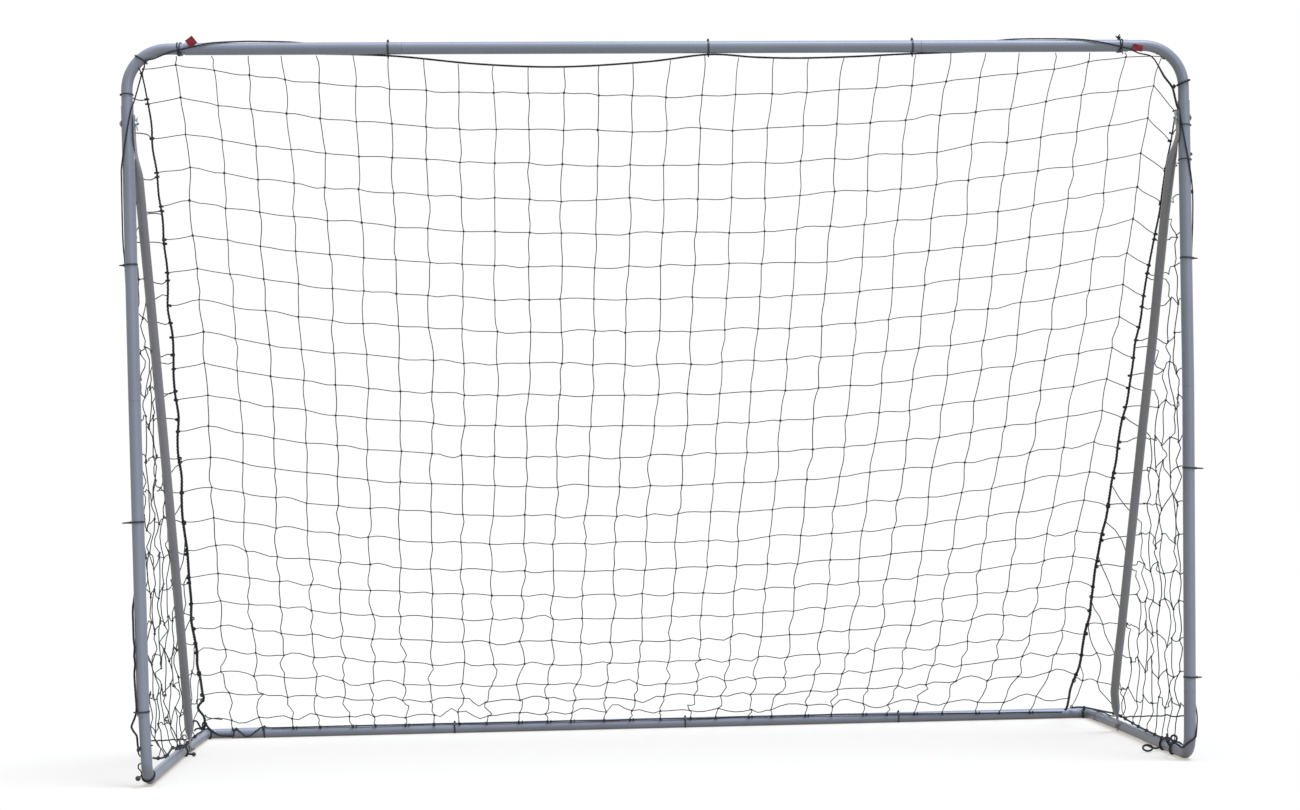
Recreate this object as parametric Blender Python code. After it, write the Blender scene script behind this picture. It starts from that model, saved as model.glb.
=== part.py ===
"""Soccer goal: a bolted tube frame with sloping struts, a knotted net, cords, ties and tags.

Metres, +Z up. The mouth faces -Y, the crossbar runs along X, and the origin is on the
ground under the middle of the goal.
"""
import math

import bmesh
import bpy
from mathutils import Matrix, Vector

# Overall frame
WIDTH = 3.000
HEIGHT = 2.060
DEPTH = 1.200
TUBE_R = 0.017
WALL = 0.0012
GAP = 0.0003
SIDES = 16

# Bends and joints
CORNER_BEND_R = 0.115
CORNER_LEG = 0.042
FOOT_BEND_R = 0.055
REAR_BEND_R = 0.048
THIN_REAR_BEND_R = 0.040
REAR_LEG = 0.046
PLUG = 0.060
POST_PLUG = 0.078
REAR_PLUG = 0.034
BAR_JOINT_X = 0.730
POST_UPPER_DROP = 0.990
FOOT_JOINT_Z = 0.197
LEFT_FOOT_LENGTH = 0.713
RIGHT_FOOT_LENGTH = 0.463
LEFT_REAR_LEG = 0.043
RIGHT_REAR_LEG = 0.133
BEND_STEPS = 5

# Sloping struts
STRUT_R = 0.0135
STRUT_TAB = 0.0015
STRUT_TAB_WIDE = 0.0175
STRUT_TOP_REACH = 0.025
STRUT_KNEE_DROP = 0.041
STRUT_FOOT_INSET = 0.030
STRUT_FOOT_END = 0.013

# Fasteners
BOLT_R = 0.0037
BOLT_HEAD_R = 0.007
BOLT_HEAD = 0.004
BOLT_DROP = 0.223
NUT_R = 0.0068
NUT_LENGTH = 0.006
WING = 0.012
SCREW_R = 0.0020
SCREW_HEAD_R = 0.0038
SCREW_HEAD = 0.0022
SCREW_INSET = 0.030

# Cords and nets
SEAM_R = 0.0050
ROPE_R = 0.0030
CORD_R = 0.0022
TWINE = 0.0020
STRAND = 0.0032
BACK_GAPS_X = 14
BACK_GAPS_Z = 10
UPPER_GAPS_Z = 6
SIDE_GAPS_Y = 3
SIDE_GAPS_Z = 8
SIDE_NET_INSET = 0.0023
SIDE_NET_DROP = 0.360
SIDE_NET_LOW = 0.130
SIDE_ROPE_LAND = 0.73
SIDE_ROPE_END = 0.93
NET_CORNER_INSET = 0.253
CORNER_DROP = 0.021

# Ties and tags
TIE_THICK = 0.0012
TIE_WIDE = 0.0030
TIE_HEAD = 0.0040
TIE_TAIL = 0.034
TIE_STUB = 0.010
TIE_STEPS = 12
# Places of the ties: up the posts as shares of the height, along the bars as shares of the width
LEFT_POST_TIES = (0.7024, 0.3568, 0.1015)
RIGHT_POST_TIES = (0.6976, 0.4063, 0.1160)
TOP_TIES = (-0.2560, 0.0423, 0.2353)
REAR_TIES = (-0.4297, -0.2207, 0.0357, 0.2760)
BEAD_R = 0.0055
TAG_SIZE = 0.030
TAG_THICK = 0.0008

# Places that follow from the sizes
POST_X = WIDTH / 2 - TUBE_R
FRONT_Y = TUBE_R - DEPTH / 2
REAR_Y = DEPTH / 2 - TUBE_R
BAR_Z = HEIGHT - TUBE_R
GROUND_Z = TUBE_R
THIN_R = TUBE_R - WALL - GAP
OUT_R = TUBE_R / math.cos(math.pi / SIDES)
CORNER_JOINT = CORNER_BEND_R + CORNER_LEG
STRUT_X = POST_X - TUBE_R - GAP - STRUT_TAB
LEFT_BEND_Y = REAR_Y - LEFT_REAR_LEG
RIGHT_BEND_Y = REAR_Y - RIGHT_REAR_LEG
LEFT_SLEEVE_Y = FRONT_Y + LEFT_FOOT_LENGTH
RIGHT_SLEEVE_Y = FRONT_Y + RIGHT_FOOT_LENGTH
REAR_JOINT_X = POST_X - THIN_REAR_BEND_R - REAR_LEG
TOP_JOINT_X = POST_X - CORNER_JOINT
POST_JOINT_Z = HEIGHT - POST_UPPER_DROP
BOLT_Z = HEIGHT - BOLT_DROP
STRUT_TOP_Z = BOLT_Z + STRUT_TOP_REACH
STRUT_KNEE_Z = BOLT_Z - STRUT_KNEE_DROP
STRUT_FOOT_Y = LEFT_SLEEVE_Y + STRUT_FOOT_INSET
SIDE_NET_X = POST_X - SIDE_NET_INSET
SIDE_NET_TOP = HEIGHT - SIDE_NET_DROP
NET_CORNER_X = POST_X - NET_CORNER_INSET

# The hanging net at even lengths down it: depth and height as shares of the way from the front
# bar to the rear bar, and how far in from the posts the left and the right seam rope run
HANG = ((0.0000, 0.9857, 0.049, 0.049), (0.0712, 0.8455, 0.056, 0.037),
        (0.1569, 0.7073, 0.061, 0.053), (0.2556, 0.5740, 0.059, 0.072),
        (0.3628, 0.4457, 0.051, 0.086), (0.4828, 0.3174, 0.044, 0.095),
        (0.6201, 0.1989, 0.037, 0.100), (0.7830, 0.0903, 0.027, 0.097),
        (0.9777, 0.0114, 0.013, 0.086))
# The top rope hangs between its ties: shares of the width along the bar, and the drop there
TOP_SAG = ((-0.4407, 0.000), (-0.3500, -0.006), (-0.2560, 0.000), (-0.1733, -0.024),
           (-0.0967, -0.033), (-0.0167, -0.020), (0.0423, 0.000), (0.0867, -0.008),
           (0.1290, -0.011), (0.1833, -0.007), (0.2353, 0.000), (0.3333, -0.005),
           (0.4293, 0.000))


def clear_scene():
    """Start from nothing."""
    for obj in list(bpy.data.objects):
        bpy.data.objects.remove(obj, do_unlink=True)


def make_material(name, colour, roughness, metallic):
    """A Principled material from an sRGB hex colour."""
    material = bpy.data.materials.new(name)
    material.use_nodes = True
    shader = material.node_tree.nodes["Principled BSDF"]
    parts = [int(colour[i:i + 2], 16) / 255 for i in (0, 2, 4)]
    linear = [c / 12.92 if c <= 0.04045 else ((c + 0.055) / 1.055) ** 2.4 for c in parts]
    shader.inputs["Base Color"].default_value = (*linear, 1.0)
    shader.inputs["Roughness"].default_value = roughness
    shader.inputs["Metallic"].default_value = metallic
    material.diffuse_color = (*linear, 1.0)
    return material


def finish(bm, name, material, smooth=True):
    """Turn a bmesh into one named object."""
    bmesh.ops.recalc_face_normals(bm, faces=bm.faces)
    mesh = bpy.data.meshes.new(name)
    bm.to_mesh(mesh)
    bm.free()
    mesh.materials.append(material)
    if smooth:
        mesh.shade_smooth()
        mesh.set_sharp_from_angle(angle=math.radians(35))
    obj = bpy.data.objects.new(name, mesh)
    bpy.context.scene.collection.objects.link(obj)
    return obj


def axes_matrix(centre, tangent, binormal):
    """A frame at centre: X is the in-plane normal, Y the binormal, Z the tangent."""
    tangent = Vector(tangent).normalized()
    normal = Vector(binormal).cross(tangent).normalized()
    across = tangent.cross(normal)
    turn = Matrix((normal, across, tangent)).transposed().to_4x4()
    return Matrix.Translation(centre) @ turn


def add_loop(bm, centre, tangent, binormal, half_n, half_b, sides=SIDES):
    """One cross-section of a tube, its flats square to the normal and the binormal."""
    place = axes_matrix(centre, tangent, binormal)
    shape = Matrix.Diagonal((half_n, half_b, 1.0, 1.0)) @ Matrix.Rotation(math.pi / sides, 4, "Z")
    made = bmesh.ops.create_circle(bm, segments=sides, radius=1 / math.cos(math.pi / sides),
                                   matrix=place @ shape)
    return made["verts"]


def join_loops(bm, here, there):
    """Quads between two loops of the same count, corner to corner."""
    count = len(here)
    for i in range(count):
        j = (i + 1) % count
        bm.faces.new((here[i], here[j], there[j], there[i]))


def add_skin(bm, stations, binormal, sides=SIDES):
    """Join a row of cross-sections and return its two end loops."""
    loops = [add_loop(bm, *station[:2], binormal, *station[2:], sides=sides)
             for station in stations]
    for here, there in zip(loops, loops[1:]):
        join_loops(bm, here, there)
    return loops[0], loops[-1]


def hollow(name, material, outer, inner, binormal):
    """A tube from its outer and inner rows of cross-sections."""
    bm = bmesh.new()
    out_start, out_end = add_skin(bm, outer, binormal)
    in_start, in_end = add_skin(bm, inner, binormal)
    join_loops(bm, out_start, in_start)
    join_loops(bm, out_end, in_end)
    return finish(bm, name, material)


def make_tube(name, material, path, binormal, radius=TUBE_R, plugs=(False, False), reach=PLUG):
    """A round tube along a path of (point, tangent), with a narrowed plug at either end."""
    outer = [(point, tangent, radius, radius) for point, tangent in path]
    bore = radius - WALL
    inner = [(point, tangent, bore, bore) for point, tangent in path]
    plug_out = THIN_R
    plug_in = THIN_R - WALL
    if plugs[0]:
        point, tangent = path[0]
        tip = point - tangent * reach
        step = point + tangent * WALL
        outer[:0] = [(tip, tangent, plug_out, plug_out), (point, tangent, plug_out, plug_out)]
        inner[:1] = [(tip, tangent, plug_in, plug_in), (step, tangent, plug_in, plug_in),
                     (step, tangent, bore, bore)]
    if plugs[1]:
        point, tangent = path[-1]
        tip = point + tangent * reach
        step = point - tangent * WALL
        outer += [(point, tangent, plug_out, plug_out), (tip, tangent, plug_out, plug_out)]
        inner[-1:] = [(step, tangent, bore, bore), (step, tangent, plug_in, plug_in),
                      (tip, tangent, plug_in, plug_in)]
    return hollow(name, material, outer, inner, binormal)


def straight(start, end):
    """The path of a straight tube."""
    start = Vector(start)
    end = Vector(end)
    tangent = (end - start).normalized()
    return [(start, tangent), (end, tangent)]


def bend(start, corner, end, radius):
    """The path of a tube with one square corner of the given centreline radius."""
    start = Vector(start)
    corner = Vector(corner)
    end = Vector(end)
    back = (start - corner).normalized()
    on = (end - corner).normalized()
    centre = corner + (back + on) * radius
    path = [(start, -back)]
    for step in range(BEND_STEPS + 1):
        turn = math.pi / 2 * step / BEND_STEPS
        point = centre - on * (radius * math.cos(turn)) - back * (radius * math.sin(turn))
        path.append((point, on * math.sin(turn) - back * math.cos(turn)))
    path.append((end, on))
    return path


def drill(obj, start, end, radius):
    """Cut a round hole through an object from start to end."""
    bm = bmesh.new()
    start = Vector(start)
    end = Vector(end)
    length = (end - start).length
    place = Matrix.Translation((start + end) / 2)
    turn = (end - start).to_track_quat("Z", "Y").to_matrix().to_4x4()
    corner = radius / math.cos(math.pi / 12)
    bmesh.ops.create_cone(bm, cap_ends=True, segments=12, radius1=corner, radius2=corner,
                          depth=length, matrix=place @ turn)
    mesh = bpy.data.meshes.new(obj.name + "_hole")
    bm.to_mesh(mesh)
    bm.free()
    cutter = bpy.data.objects.new(obj.name + "_hole", mesh)
    bpy.context.scene.collection.objects.link(cutter)
    cutter.hide_render = True
    cutter.display_type = "WIRE"
    cut = obj.modifiers.new("Hole", "BOOLEAN")
    cut.operation = "DIFFERENCE"
    cut.object = cutter
    return cutter


def make_top(steel):
    """Crossbar in three lengths, the corner bends and the posts."""
    inner_end = TOP_JOINT_X
    for side, word in ((-1, "left"), (1, "right")):
        start = (side * (BAR_JOINT_X + GAP), FRONT_Y, BAR_Z)
        make_tube("crossbar_" + word, steel,
                  straight(start, (side * inner_end, FRONT_Y, BAR_Z)), (0, 1, 0))
        path = bend((side * (inner_end - PLUG), FRONT_Y, BAR_Z), (side * POST_X, FRONT_Y, BAR_Z),
                    (side * POST_X, FRONT_Y, BAR_Z - CORNER_JOINT - POST_PLUG), CORNER_BEND_R)
        corner = make_tube("corner_bend_" + word, steel, path, (0, 1, 0), radius=THIN_R)
        post = make_tube("post_upper_" + word, steel,
                         straight((side * POST_X, FRONT_Y, BAR_Z - CORNER_JOINT),
                                  (side * POST_X, FRONT_Y, POST_JOINT_Z + GAP)), (0, 1, 0))
        for tube in (corner, post):
            drill(tube, (side * (POST_X - 0.03), FRONT_Y, BOLT_Z),
                  (side * (POST_X + 0.03), FRONT_Y, BOLT_Z), BOLT_R + GAP)
        make_tube("post_lower_" + word, steel,
                  straight((side * POST_X, FRONT_Y, POST_JOINT_Z),
                           (side * POST_X, FRONT_Y, FOOT_JOINT_Z + GAP)), (0, 1, 0),
                  plugs=(True, False))
    make_tube("crossbar_middle", steel, straight((-BAR_JOINT_X, FRONT_Y, BAR_Z),
                                                 (BAR_JOINT_X, FRONT_Y, BAR_Z)), (0, 1, 0),
              plugs=(True, True))


def make_left_base(steel):
    """Left ground line: thin foot bend, thick side tube, tight thin rear bend."""
    x = -POST_X
    path = bend((x, FRONT_Y, FOOT_JOINT_Z + PLUG), (x, FRONT_Y, GROUND_Z),
                (x, LEFT_SLEEVE_Y + PLUG, GROUND_Z), FOOT_BEND_R)
    foot = make_tube("foot_bend_left", steel, path, (1, 0, 0), radius=THIN_R)
    tube = make_tube("side_tube_left", steel, straight((x, LEFT_SLEEVE_Y, GROUND_Z),
                                                       (x, LEFT_BEND_Y, GROUND_Z)), (1, 0, 0))
    path = bend((x, LEFT_BEND_Y - PLUG, GROUND_Z), (x, REAR_Y, GROUND_Z),
                (-REAR_JOINT_X + PLUG, REAR_Y, GROUND_Z), THIN_REAR_BEND_R)
    rear = make_tube("rear_bend_left", steel, path, (0, 0, 1), radius=THIN_R)
    return (foot, tube), (tube, rear)


def make_right_base(steel):
    """Right ground line: thick foot bend, thin side tube, thick rear bend."""
    x = POST_X
    path = bend((x, FRONT_Y, FOOT_JOINT_Z), (x, FRONT_Y, GROUND_Z),
                (x, RIGHT_SLEEVE_Y, GROUND_Z), FOOT_BEND_R)
    make_tube("foot_bend_right", steel, path, (1, 0, 0), plugs=(True, False))
    tube = make_tube("side_tube_right", steel, straight((x, RIGHT_SLEEVE_Y - PLUG, GROUND_Z),
                                                        (x, RIGHT_BEND_Y + PLUG, GROUND_Z)),
                     (1, 0, 0), radius=THIN_R)
    path = bend((x, RIGHT_BEND_Y, GROUND_Z), (x, REAR_Y, GROUND_Z),
                (REAR_JOINT_X, REAR_Y, GROUND_Z), REAR_BEND_R)
    rear = make_tube("rear_bend_right", steel, path, (0, 0, 1))
    return (tube,), (rear, tube)


def make_rear_bar(steel):
    """Rear ground bar in three lengths."""
    make_tube("rear_bar_left", steel, straight((-REAR_JOINT_X, REAR_Y, GROUND_Z),
                                               (-BAR_JOINT_X - GAP, REAR_Y, GROUND_Z)), (0, 0, 1))
    make_tube("rear_bar_right", steel, straight((BAR_JOINT_X + GAP, REAR_Y, GROUND_Z),
                                                (REAR_JOINT_X - GAP, REAR_Y, GROUND_Z)),
              (0, 0, 1), plugs=(False, True), reach=REAR_PLUG)
    make_tube("rear_bar_middle", steel, straight((-BAR_JOINT_X, REAR_Y, GROUND_Z),
                                                 (BAR_JOINT_X, REAR_Y, GROUND_Z)), (0, 0, 1),
              plugs=(True, True))


def make_strut(side, word, steel, foot_x):
    """A sloping tube with both ends pressed flat, thin along X."""
    x = side * STRUT_X
    knee = Vector((x, FRONT_Y, STRUT_KNEE_Z))
    foot = Vector((x, STRUT_FOOT_Y, GROUND_Z))
    slope = (foot - knee).normalized()
    end = foot + slope * STRUT_FOOT_END
    length = (end - knee).length
    down = Vector((0, 0, -1))
    half = (down + slope).normalized()
    shift = Vector((side * foot_x - x, 0, 0))
    flat = STRUT_TAB
    wide = STRUT_TAB_WIDE
    round_r = STRUT_R
    outer = [(Vector((x, FRONT_Y, STRUT_TOP_Z)), down, wide, flat),
             (knee + Vector((0, 0, 0.012)), down, wide, flat),
             (knee + half * 0.002, half, wide, flat),
             (knee + slope * 0.034, slope, wide, flat),
             (knee + slope * 0.056, slope, 0.0165, 0.0032),
             (knee + slope * 0.082, slope, 0.0150, 0.0085),
             (knee + slope * 0.112, slope, round_r, round_r),
             (knee + slope * (length - 0.130), slope, round_r, round_r),
             (knee + slope * (length - 0.105) + shift * 0.5, slope, 0.0150, 0.0085),
             (knee + slope * (length - 0.078) + shift, slope, 0.0165, 0.0036),
             (knee + slope * (length - 0.055) + shift, slope, wide, flat),
             (end - slope * 0.010 + shift, slope, wide, flat),
             (end + shift, slope, 0.009, flat)]
    inner = [(point, tangent, half_n - WALL, half_b - WALL)
             for point, tangent, half_n, half_b in outer]
    strut = hollow("strut_" + word, steel, outer, inner, (1, 0, 0))
    drill(strut, (x - 0.01, FRONT_Y, BOLT_Z), (x + 0.01, FRONT_Y, BOLT_Z), BOLT_R + GAP)
    drill(strut, (side * foot_x - 0.01, STRUT_FOOT_Y, GROUND_Z),
          (side * foot_x + 0.01, STRUT_FOOT_Y, GROUND_Z), BOLT_R + GAP)
    return strut


def turned(name, material, start, direction, profile, sides=12):
    """A solid of revolution from (distance, radius) pairs, closed at both ends."""
    bm = bmesh.new()
    start = Vector(start)
    direction = Vector(direction).normalized()
    binormal = direction.orthogonal().normalized()
    rows = [(start + direction * along, direction, radius, radius) for along, radius in profile]
    first, last = add_skin(bm, rows, binormal, sides=sides)
    for loop in (first, last):
        bm.faces.new(loop)
    return finish(bm, name, material)


def make_bolt(name, material, head_x, tip_x, y, z):
    """A domed bolt along X, from its head on the outer side to its tip."""
    inward = -1 if head_x > 0 else 1
    reach = abs(head_x - tip_x)
    profile = ((-BOLT_HEAD, BOLT_HEAD_R * 0.45), (-BOLT_HEAD * 0.75, BOLT_HEAD_R * 0.82),
               (-BOLT_HEAD * 0.2, BOLT_HEAD_R), (-GAP, BOLT_HEAD_R), (-GAP, BOLT_R),
               (reach, BOLT_R))
    return turned(name, material, (head_x, y, z), (inward, 0, 0), profile)


def make_nut(name, material, side, seat_x, y, z, wings):
    """A nut on the inner side of a tab, with two wings where it is turned by hand."""
    bm = bmesh.new()
    inward = Vector((-side, 0, 0))
    near = Vector((side * seat_x, y, z)) + inward * GAP
    far = near + inward * NUT_LENGTH
    rows = [(near, inward, NUT_R, NUT_R), (far, inward, NUT_R * 0.9, NUT_R * 0.9)]
    bore = BOLT_R + GAP
    hole = [(near, inward, bore, bore), (far, inward, bore, bore)]
    out_start, out_end = add_skin(bm, rows, (0, 0, 1), sides=12)
    in_start, in_end = add_skin(bm, hole, (0, 0, 1), sides=12)
    join_loops(bm, out_start, in_start)
    join_loops(bm, out_end, in_end)
    bmesh.ops.recalc_face_normals(bm, faces=bm.faces)
    if wings:
        centre = (near + far) / 2
        for up in (1, -1):
            bm.faces.ensure_lookup_table()
            face = max(bm.faces, key=lambda f: (f.calc_center_median() - centre).z * up)
            grown = bmesh.ops.extrude_discrete_faces(bm, faces=[face])["faces"][0]
            move = Vector((-side * 0.003, 0, up * WING))
            for vert in grown.verts:
                vert.co += move
                vert.co.y = y + (vert.co.y - y) * 1.5
    return finish(bm, name, material)


def make_fasteners(zinc, feet, joints, foot_x, foot_r):
    """Bolts with wing nuts at the strut tops, bolts with nuts at the feet, joint screws."""
    for side, word in ((-1, "left"), (1, "right")):
        outer_x = side * (POST_X + TUBE_R)
        seat = STRUT_X - STRUT_TAB
        tip = side * (seat - NUT_LENGTH - GAP - 0.004)
        make_bolt("top_bolt_" + word, zinc, outer_x, tip, FRONT_Y, BOLT_Z)
        make_nut("wing_nut_" + word, zinc, side, seat, FRONT_Y, BOLT_Z, wings=True)
        seat = foot_x[word] - STRUT_TAB
        tip = side * (seat - NUT_LENGTH - GAP - 0.002)
        make_bolt("foot_bolt_" + word, zinc, side * (POST_X + foot_r[word]), tip,
                  STRUT_FOOT_Y, GROUND_Z)
        make_nut("foot_nut_" + word, zinc, side, seat, STRUT_FOOT_Y, GROUND_Z, wings=False)
        for tube in feet[word]:
            drill(tube, (side * (POST_X - 0.03), STRUT_FOOT_Y, GROUND_Z),
                  (side * (POST_X + 0.03), STRUT_FOOT_Y, GROUND_Z), BOLT_R + GAP)
    for side, word, y in ((-1, "left", LEFT_BEND_Y - SCREW_INSET),
                          (1, "right", RIGHT_BEND_Y + SCREW_INSET)):
        slant = Vector((-side, 0, -1)).normalized()
        seat = Vector((side * POST_X, y, GROUND_Z)) + slant * TUBE_R
        profile = ((-SCREW_HEAD, SCREW_HEAD_R * 0.5), (-SCREW_HEAD * 0.5, SCREW_HEAD_R * 0.9),
                   (-GAP, SCREW_HEAD_R), (-GAP, SCREW_R), (0.006, SCREW_R))
        turned("rear_screw_" + word, zinc, seat, -slant, profile)
        for tube in joints[word]:
            drill(tube, seat + slant * 0.004, seat - slant * 0.008, SCREW_R + GAP)


def smooth_at(points, t):
    """A point on the smooth curve through the given points, t from 0 to 1."""
    last = len(points) - 1
    place = min(max(t, 0.0), 1.0) * last
    i = min(int(place), last - 1)
    f = place - i
    p1 = Vector(points[i])
    p2 = Vector(points[i + 1])
    p0 = Vector(points[i - 1]) if i > 0 else p1 * 2 - p2
    p3 = Vector(points[i + 2]) if i + 2 <= last else p2 * 2 - p1
    return 0.5 * ((2 * p1) + (p2 - p0) * f + (2 * p0 - 5 * p1 + 4 * p2 - p3) * f ** 2
                  + (3 * p1 - p0 - 3 * p2 + p3) * f ** 3)


def make_cord(name, material, points, count, radius, sizes=None, closed=False):
    """A round cord along the smooth curve through the given points."""
    curve = bpy.data.curves.new(name, "CURVE")
    curve.dimensions = "3D"
    curve.bevel_depth = radius
    curve.bevel_resolution = 2
    curve.use_fill_caps = True
    spline = curve.splines.new("POLY")
    places = [smooth_at(points, i / (count - 1)) for i in range(count)]
    if closed:
        places = [Vector(p) for p in points]
    spline.points.add(len(places) - 1)
    for i, place in enumerate(places):
        spline.points[i].co = (*place, 1.0)
        if sizes:
            spline.points[i].radius = sizes[i]
    spline.use_cyclic_u = closed
    curve.materials.append(material)
    obj = bpy.data.objects.new(name, curve)
    bpy.context.scene.collection.objects.link(obj)
    return obj


def sag_z(x):
    """Height of the top rope's centre at x."""
    rest = BAR_Z - OUT_R - ROPE_R - GAP
    share = x / WIDTH
    for (x0, z0), (x1, z1) in zip(TOP_SAG, TOP_SAG[1:]):
        if share <= x1:
            f = max(0.0, (share - x0) / (x1 - x0))
            f = f * f * (3 - 2 * f)
            return rest + z0 + (z1 - z0) * f
    return rest


def hang_at(t):
    """Depth, height and half widths of the net, t from 0 at the top to 1 at the rear bar."""
    rows = [Vector((FRONT_Y + (REAR_Y - FRONT_Y) * back, GROUND_Z + (BAR_Z - GROUND_Z) * up,
                    POST_X - left, POST_X - right)) for back, up, left, right in HANG]
    return smooth_at(rows, t)


def seam_point(side, t):
    """Centre of a seam rope, which starts under the corner bend."""
    y, z, left, right = hang_at(t)
    ease = min(1.0, t * BACK_GAPS_Z)
    x = -left if side < 0 else right
    return Vector((x, y + 0.002 * ease, z - CORNER_DROP * (1 - ease)))


def net_point(u, v):
    """A point on the back net: u across from -1 to 1, v down from 0 to 1."""
    y, z, _, _ = hang_at(v)
    inset = SEAM_R / math.cos(math.pi / 8) + 2 * GAP
    left = seam_point(-1, v).x + inset
    right = seam_point(1, v).x - inset
    x = left + (right - left) * (u + 1) / 2
    top = sag_z(x) - ROPE_R - TIE_THICK - 0.0014
    top -= 0.7 * CORNER_DROP * max(0.0, (abs(x) - NET_CORNER_X) / 0.2)
    z = z + (top - hang_at(0)[1]) * max(0.0, 1 - v / 0.25) ** 2
    return Vector((x, y, z))


def side_rope_z(y):
    """Height of a side rope's centre: it slopes from the post down onto the side tube."""
    start = SIDE_NET_LOW - STRAND / 2 - CORD_R - 2 * GAP
    end = GROUND_Z + OUT_R + CORD_R + 2 * GAP
    share = (y - FRONT_Y) / (SIDE_ROPE_LAND * (REAR_Y - FRONT_Y))
    left = 1 - share
    if share > 0.9:
        left = max(0.0, 1.1 - share) ** 2 / 0.4
    return end + (start - end) * left


def side_point(side, u, v):
    """A point on a side net: u from the post back to the seam rope, v from the top down."""
    front = FRONT_Y + (OUT_R + GAP) / math.cos(math.pi / TIE_STEPS) + TIE_THICK + 0.0006
    over = STRAND / 2 + CORD_R + 2 * GAP

    def height(y):
        return SIDE_NET_TOP + (side_rope_z(y) + over - SIDE_NET_TOP) * v

    low, high = 0.0, 1.0
    for _ in range(24):
        middle = (low + high) / 2
        y, z, _, _ = hang_at(middle)
        if z > height(y - 0.012):
            low = middle
        else:
            high = middle
    back = hang_at(low)[0] - 0.012
    y = front + (back - front) * u
    return Vector((side * SIDE_NET_X, y, height(y)))


def net_lines(gaps, length):
    """Edges of the strands across one direction, as fractions of its length."""
    half = STRAND / length / 2
    lines = []
    for i in range(gaps + 1):
        middle = half + (1 - 2 * half) * i / gaps
        lines += [middle - half, middle + half]
    return lines


def make_net(name, material, place, gaps_u, gaps_v, length_u, length_v):
    """A flat net: a grid of strands with its gaps left out, then given a thickness."""
    us = net_lines(gaps_u, length_u)
    vs = net_lines(gaps_v, length_v)
    bm = bmesh.new()
    bmesh.ops.create_grid(bm, x_segments=len(us) - 1, y_segments=len(vs) - 1, size=1.0)
    for vert in bm.verts:
        i = round((vert.co.x + 1) / 2 * (len(us) - 1))
        j = round((vert.co.y + 1) / 2 * (len(vs) - 1))
        vert.index = j * len(us) + i
    spots = {vert: divmod(vert.index, len(us)) for vert in bm.verts}
    holes = []
    for face in bm.faces:
        j, i = (min(spots[vert][k] for vert in face.verts) for k in (0, 1))
        if i % 2 == 1 and j % 2 == 1:
            holes.append(face)
    for vert, (j, i) in spots.items():
        vert.co = place(us[i], vs[j])
    bmesh.ops.delete(bm, geom=holes, context="FACES_ONLY")
    obj = finish(bm, name, material, smooth=False)
    thick = obj.modifiers.new("Twine", "SOLIDIFY")
    thick.thickness = TWINE
    thick.offset = 0.0
    return obj


def make_nets(twine):
    """The sloping back net, in an upper and a lower length, and the two side nets."""
    rows = [hang_at(i / 8) for i in range(9)]
    height = sum(math.dist(a[:2], b[:2]) for a, b in zip(rows, rows[1:]))
    width = rows[0][2] + rows[0][3]
    split = UPPER_GAPS_Z / BACK_GAPS_Z
    apart = GAP / height
    for word, first, last, gaps in (("upper", 0.001, split, UPPER_GAPS_Z),
                                    ("lower", split + apart, 0.997, BACK_GAPS_Z - UPPER_GAPS_Z)):
        make_net("net_back_" + word, twine,
                 lambda u, v, a=first, b=last: net_point(2 * u - 1, a + (b - a) * v),
                 BACK_GAPS_X, gaps, width, height * (last - first))
    for side, word in ((-1, "left"), (1, "right")):
        make_net("net_side_" + word, twine, lambda u, v, s=side: side_point(s, u, v),
                 SIDE_GAPS_Y, SIDE_GAPS_Z, 0.5, SIDE_NET_TOP - SIDE_NET_LOW)


def mouth_point(side, along, turn):
    """A cord's centre on the mouth frame: along it from the middle of the crossbar, and
    turned round the tube from the front (0) to the outer side (90) or the inner side (-90)."""
    reach = OUT_R + CORD_R + 2 * GAP
    outward = reach * math.sin(math.radians(turn))
    y = FRONT_Y - reach * math.cos(math.radians(turn))
    straight_end = POST_X - CORNER_BEND_R
    arc = CORNER_BEND_R * math.pi / 2
    if along < straight_end:
        return Vector((side * along, y, BAR_Z + outward))
    if along < straight_end + arc:
        angle = (along - straight_end) / CORNER_BEND_R
        size = CORNER_BEND_R + outward
        return Vector((side * (straight_end + size * math.sin(angle)), y,
                       BAR_Z - CORNER_BEND_R + size * math.cos(angle)))
    drop = along - straight_end - arc
    return Vector((side * (POST_X + outward), y, BAR_Z - CORNER_BEND_R - drop))


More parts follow.
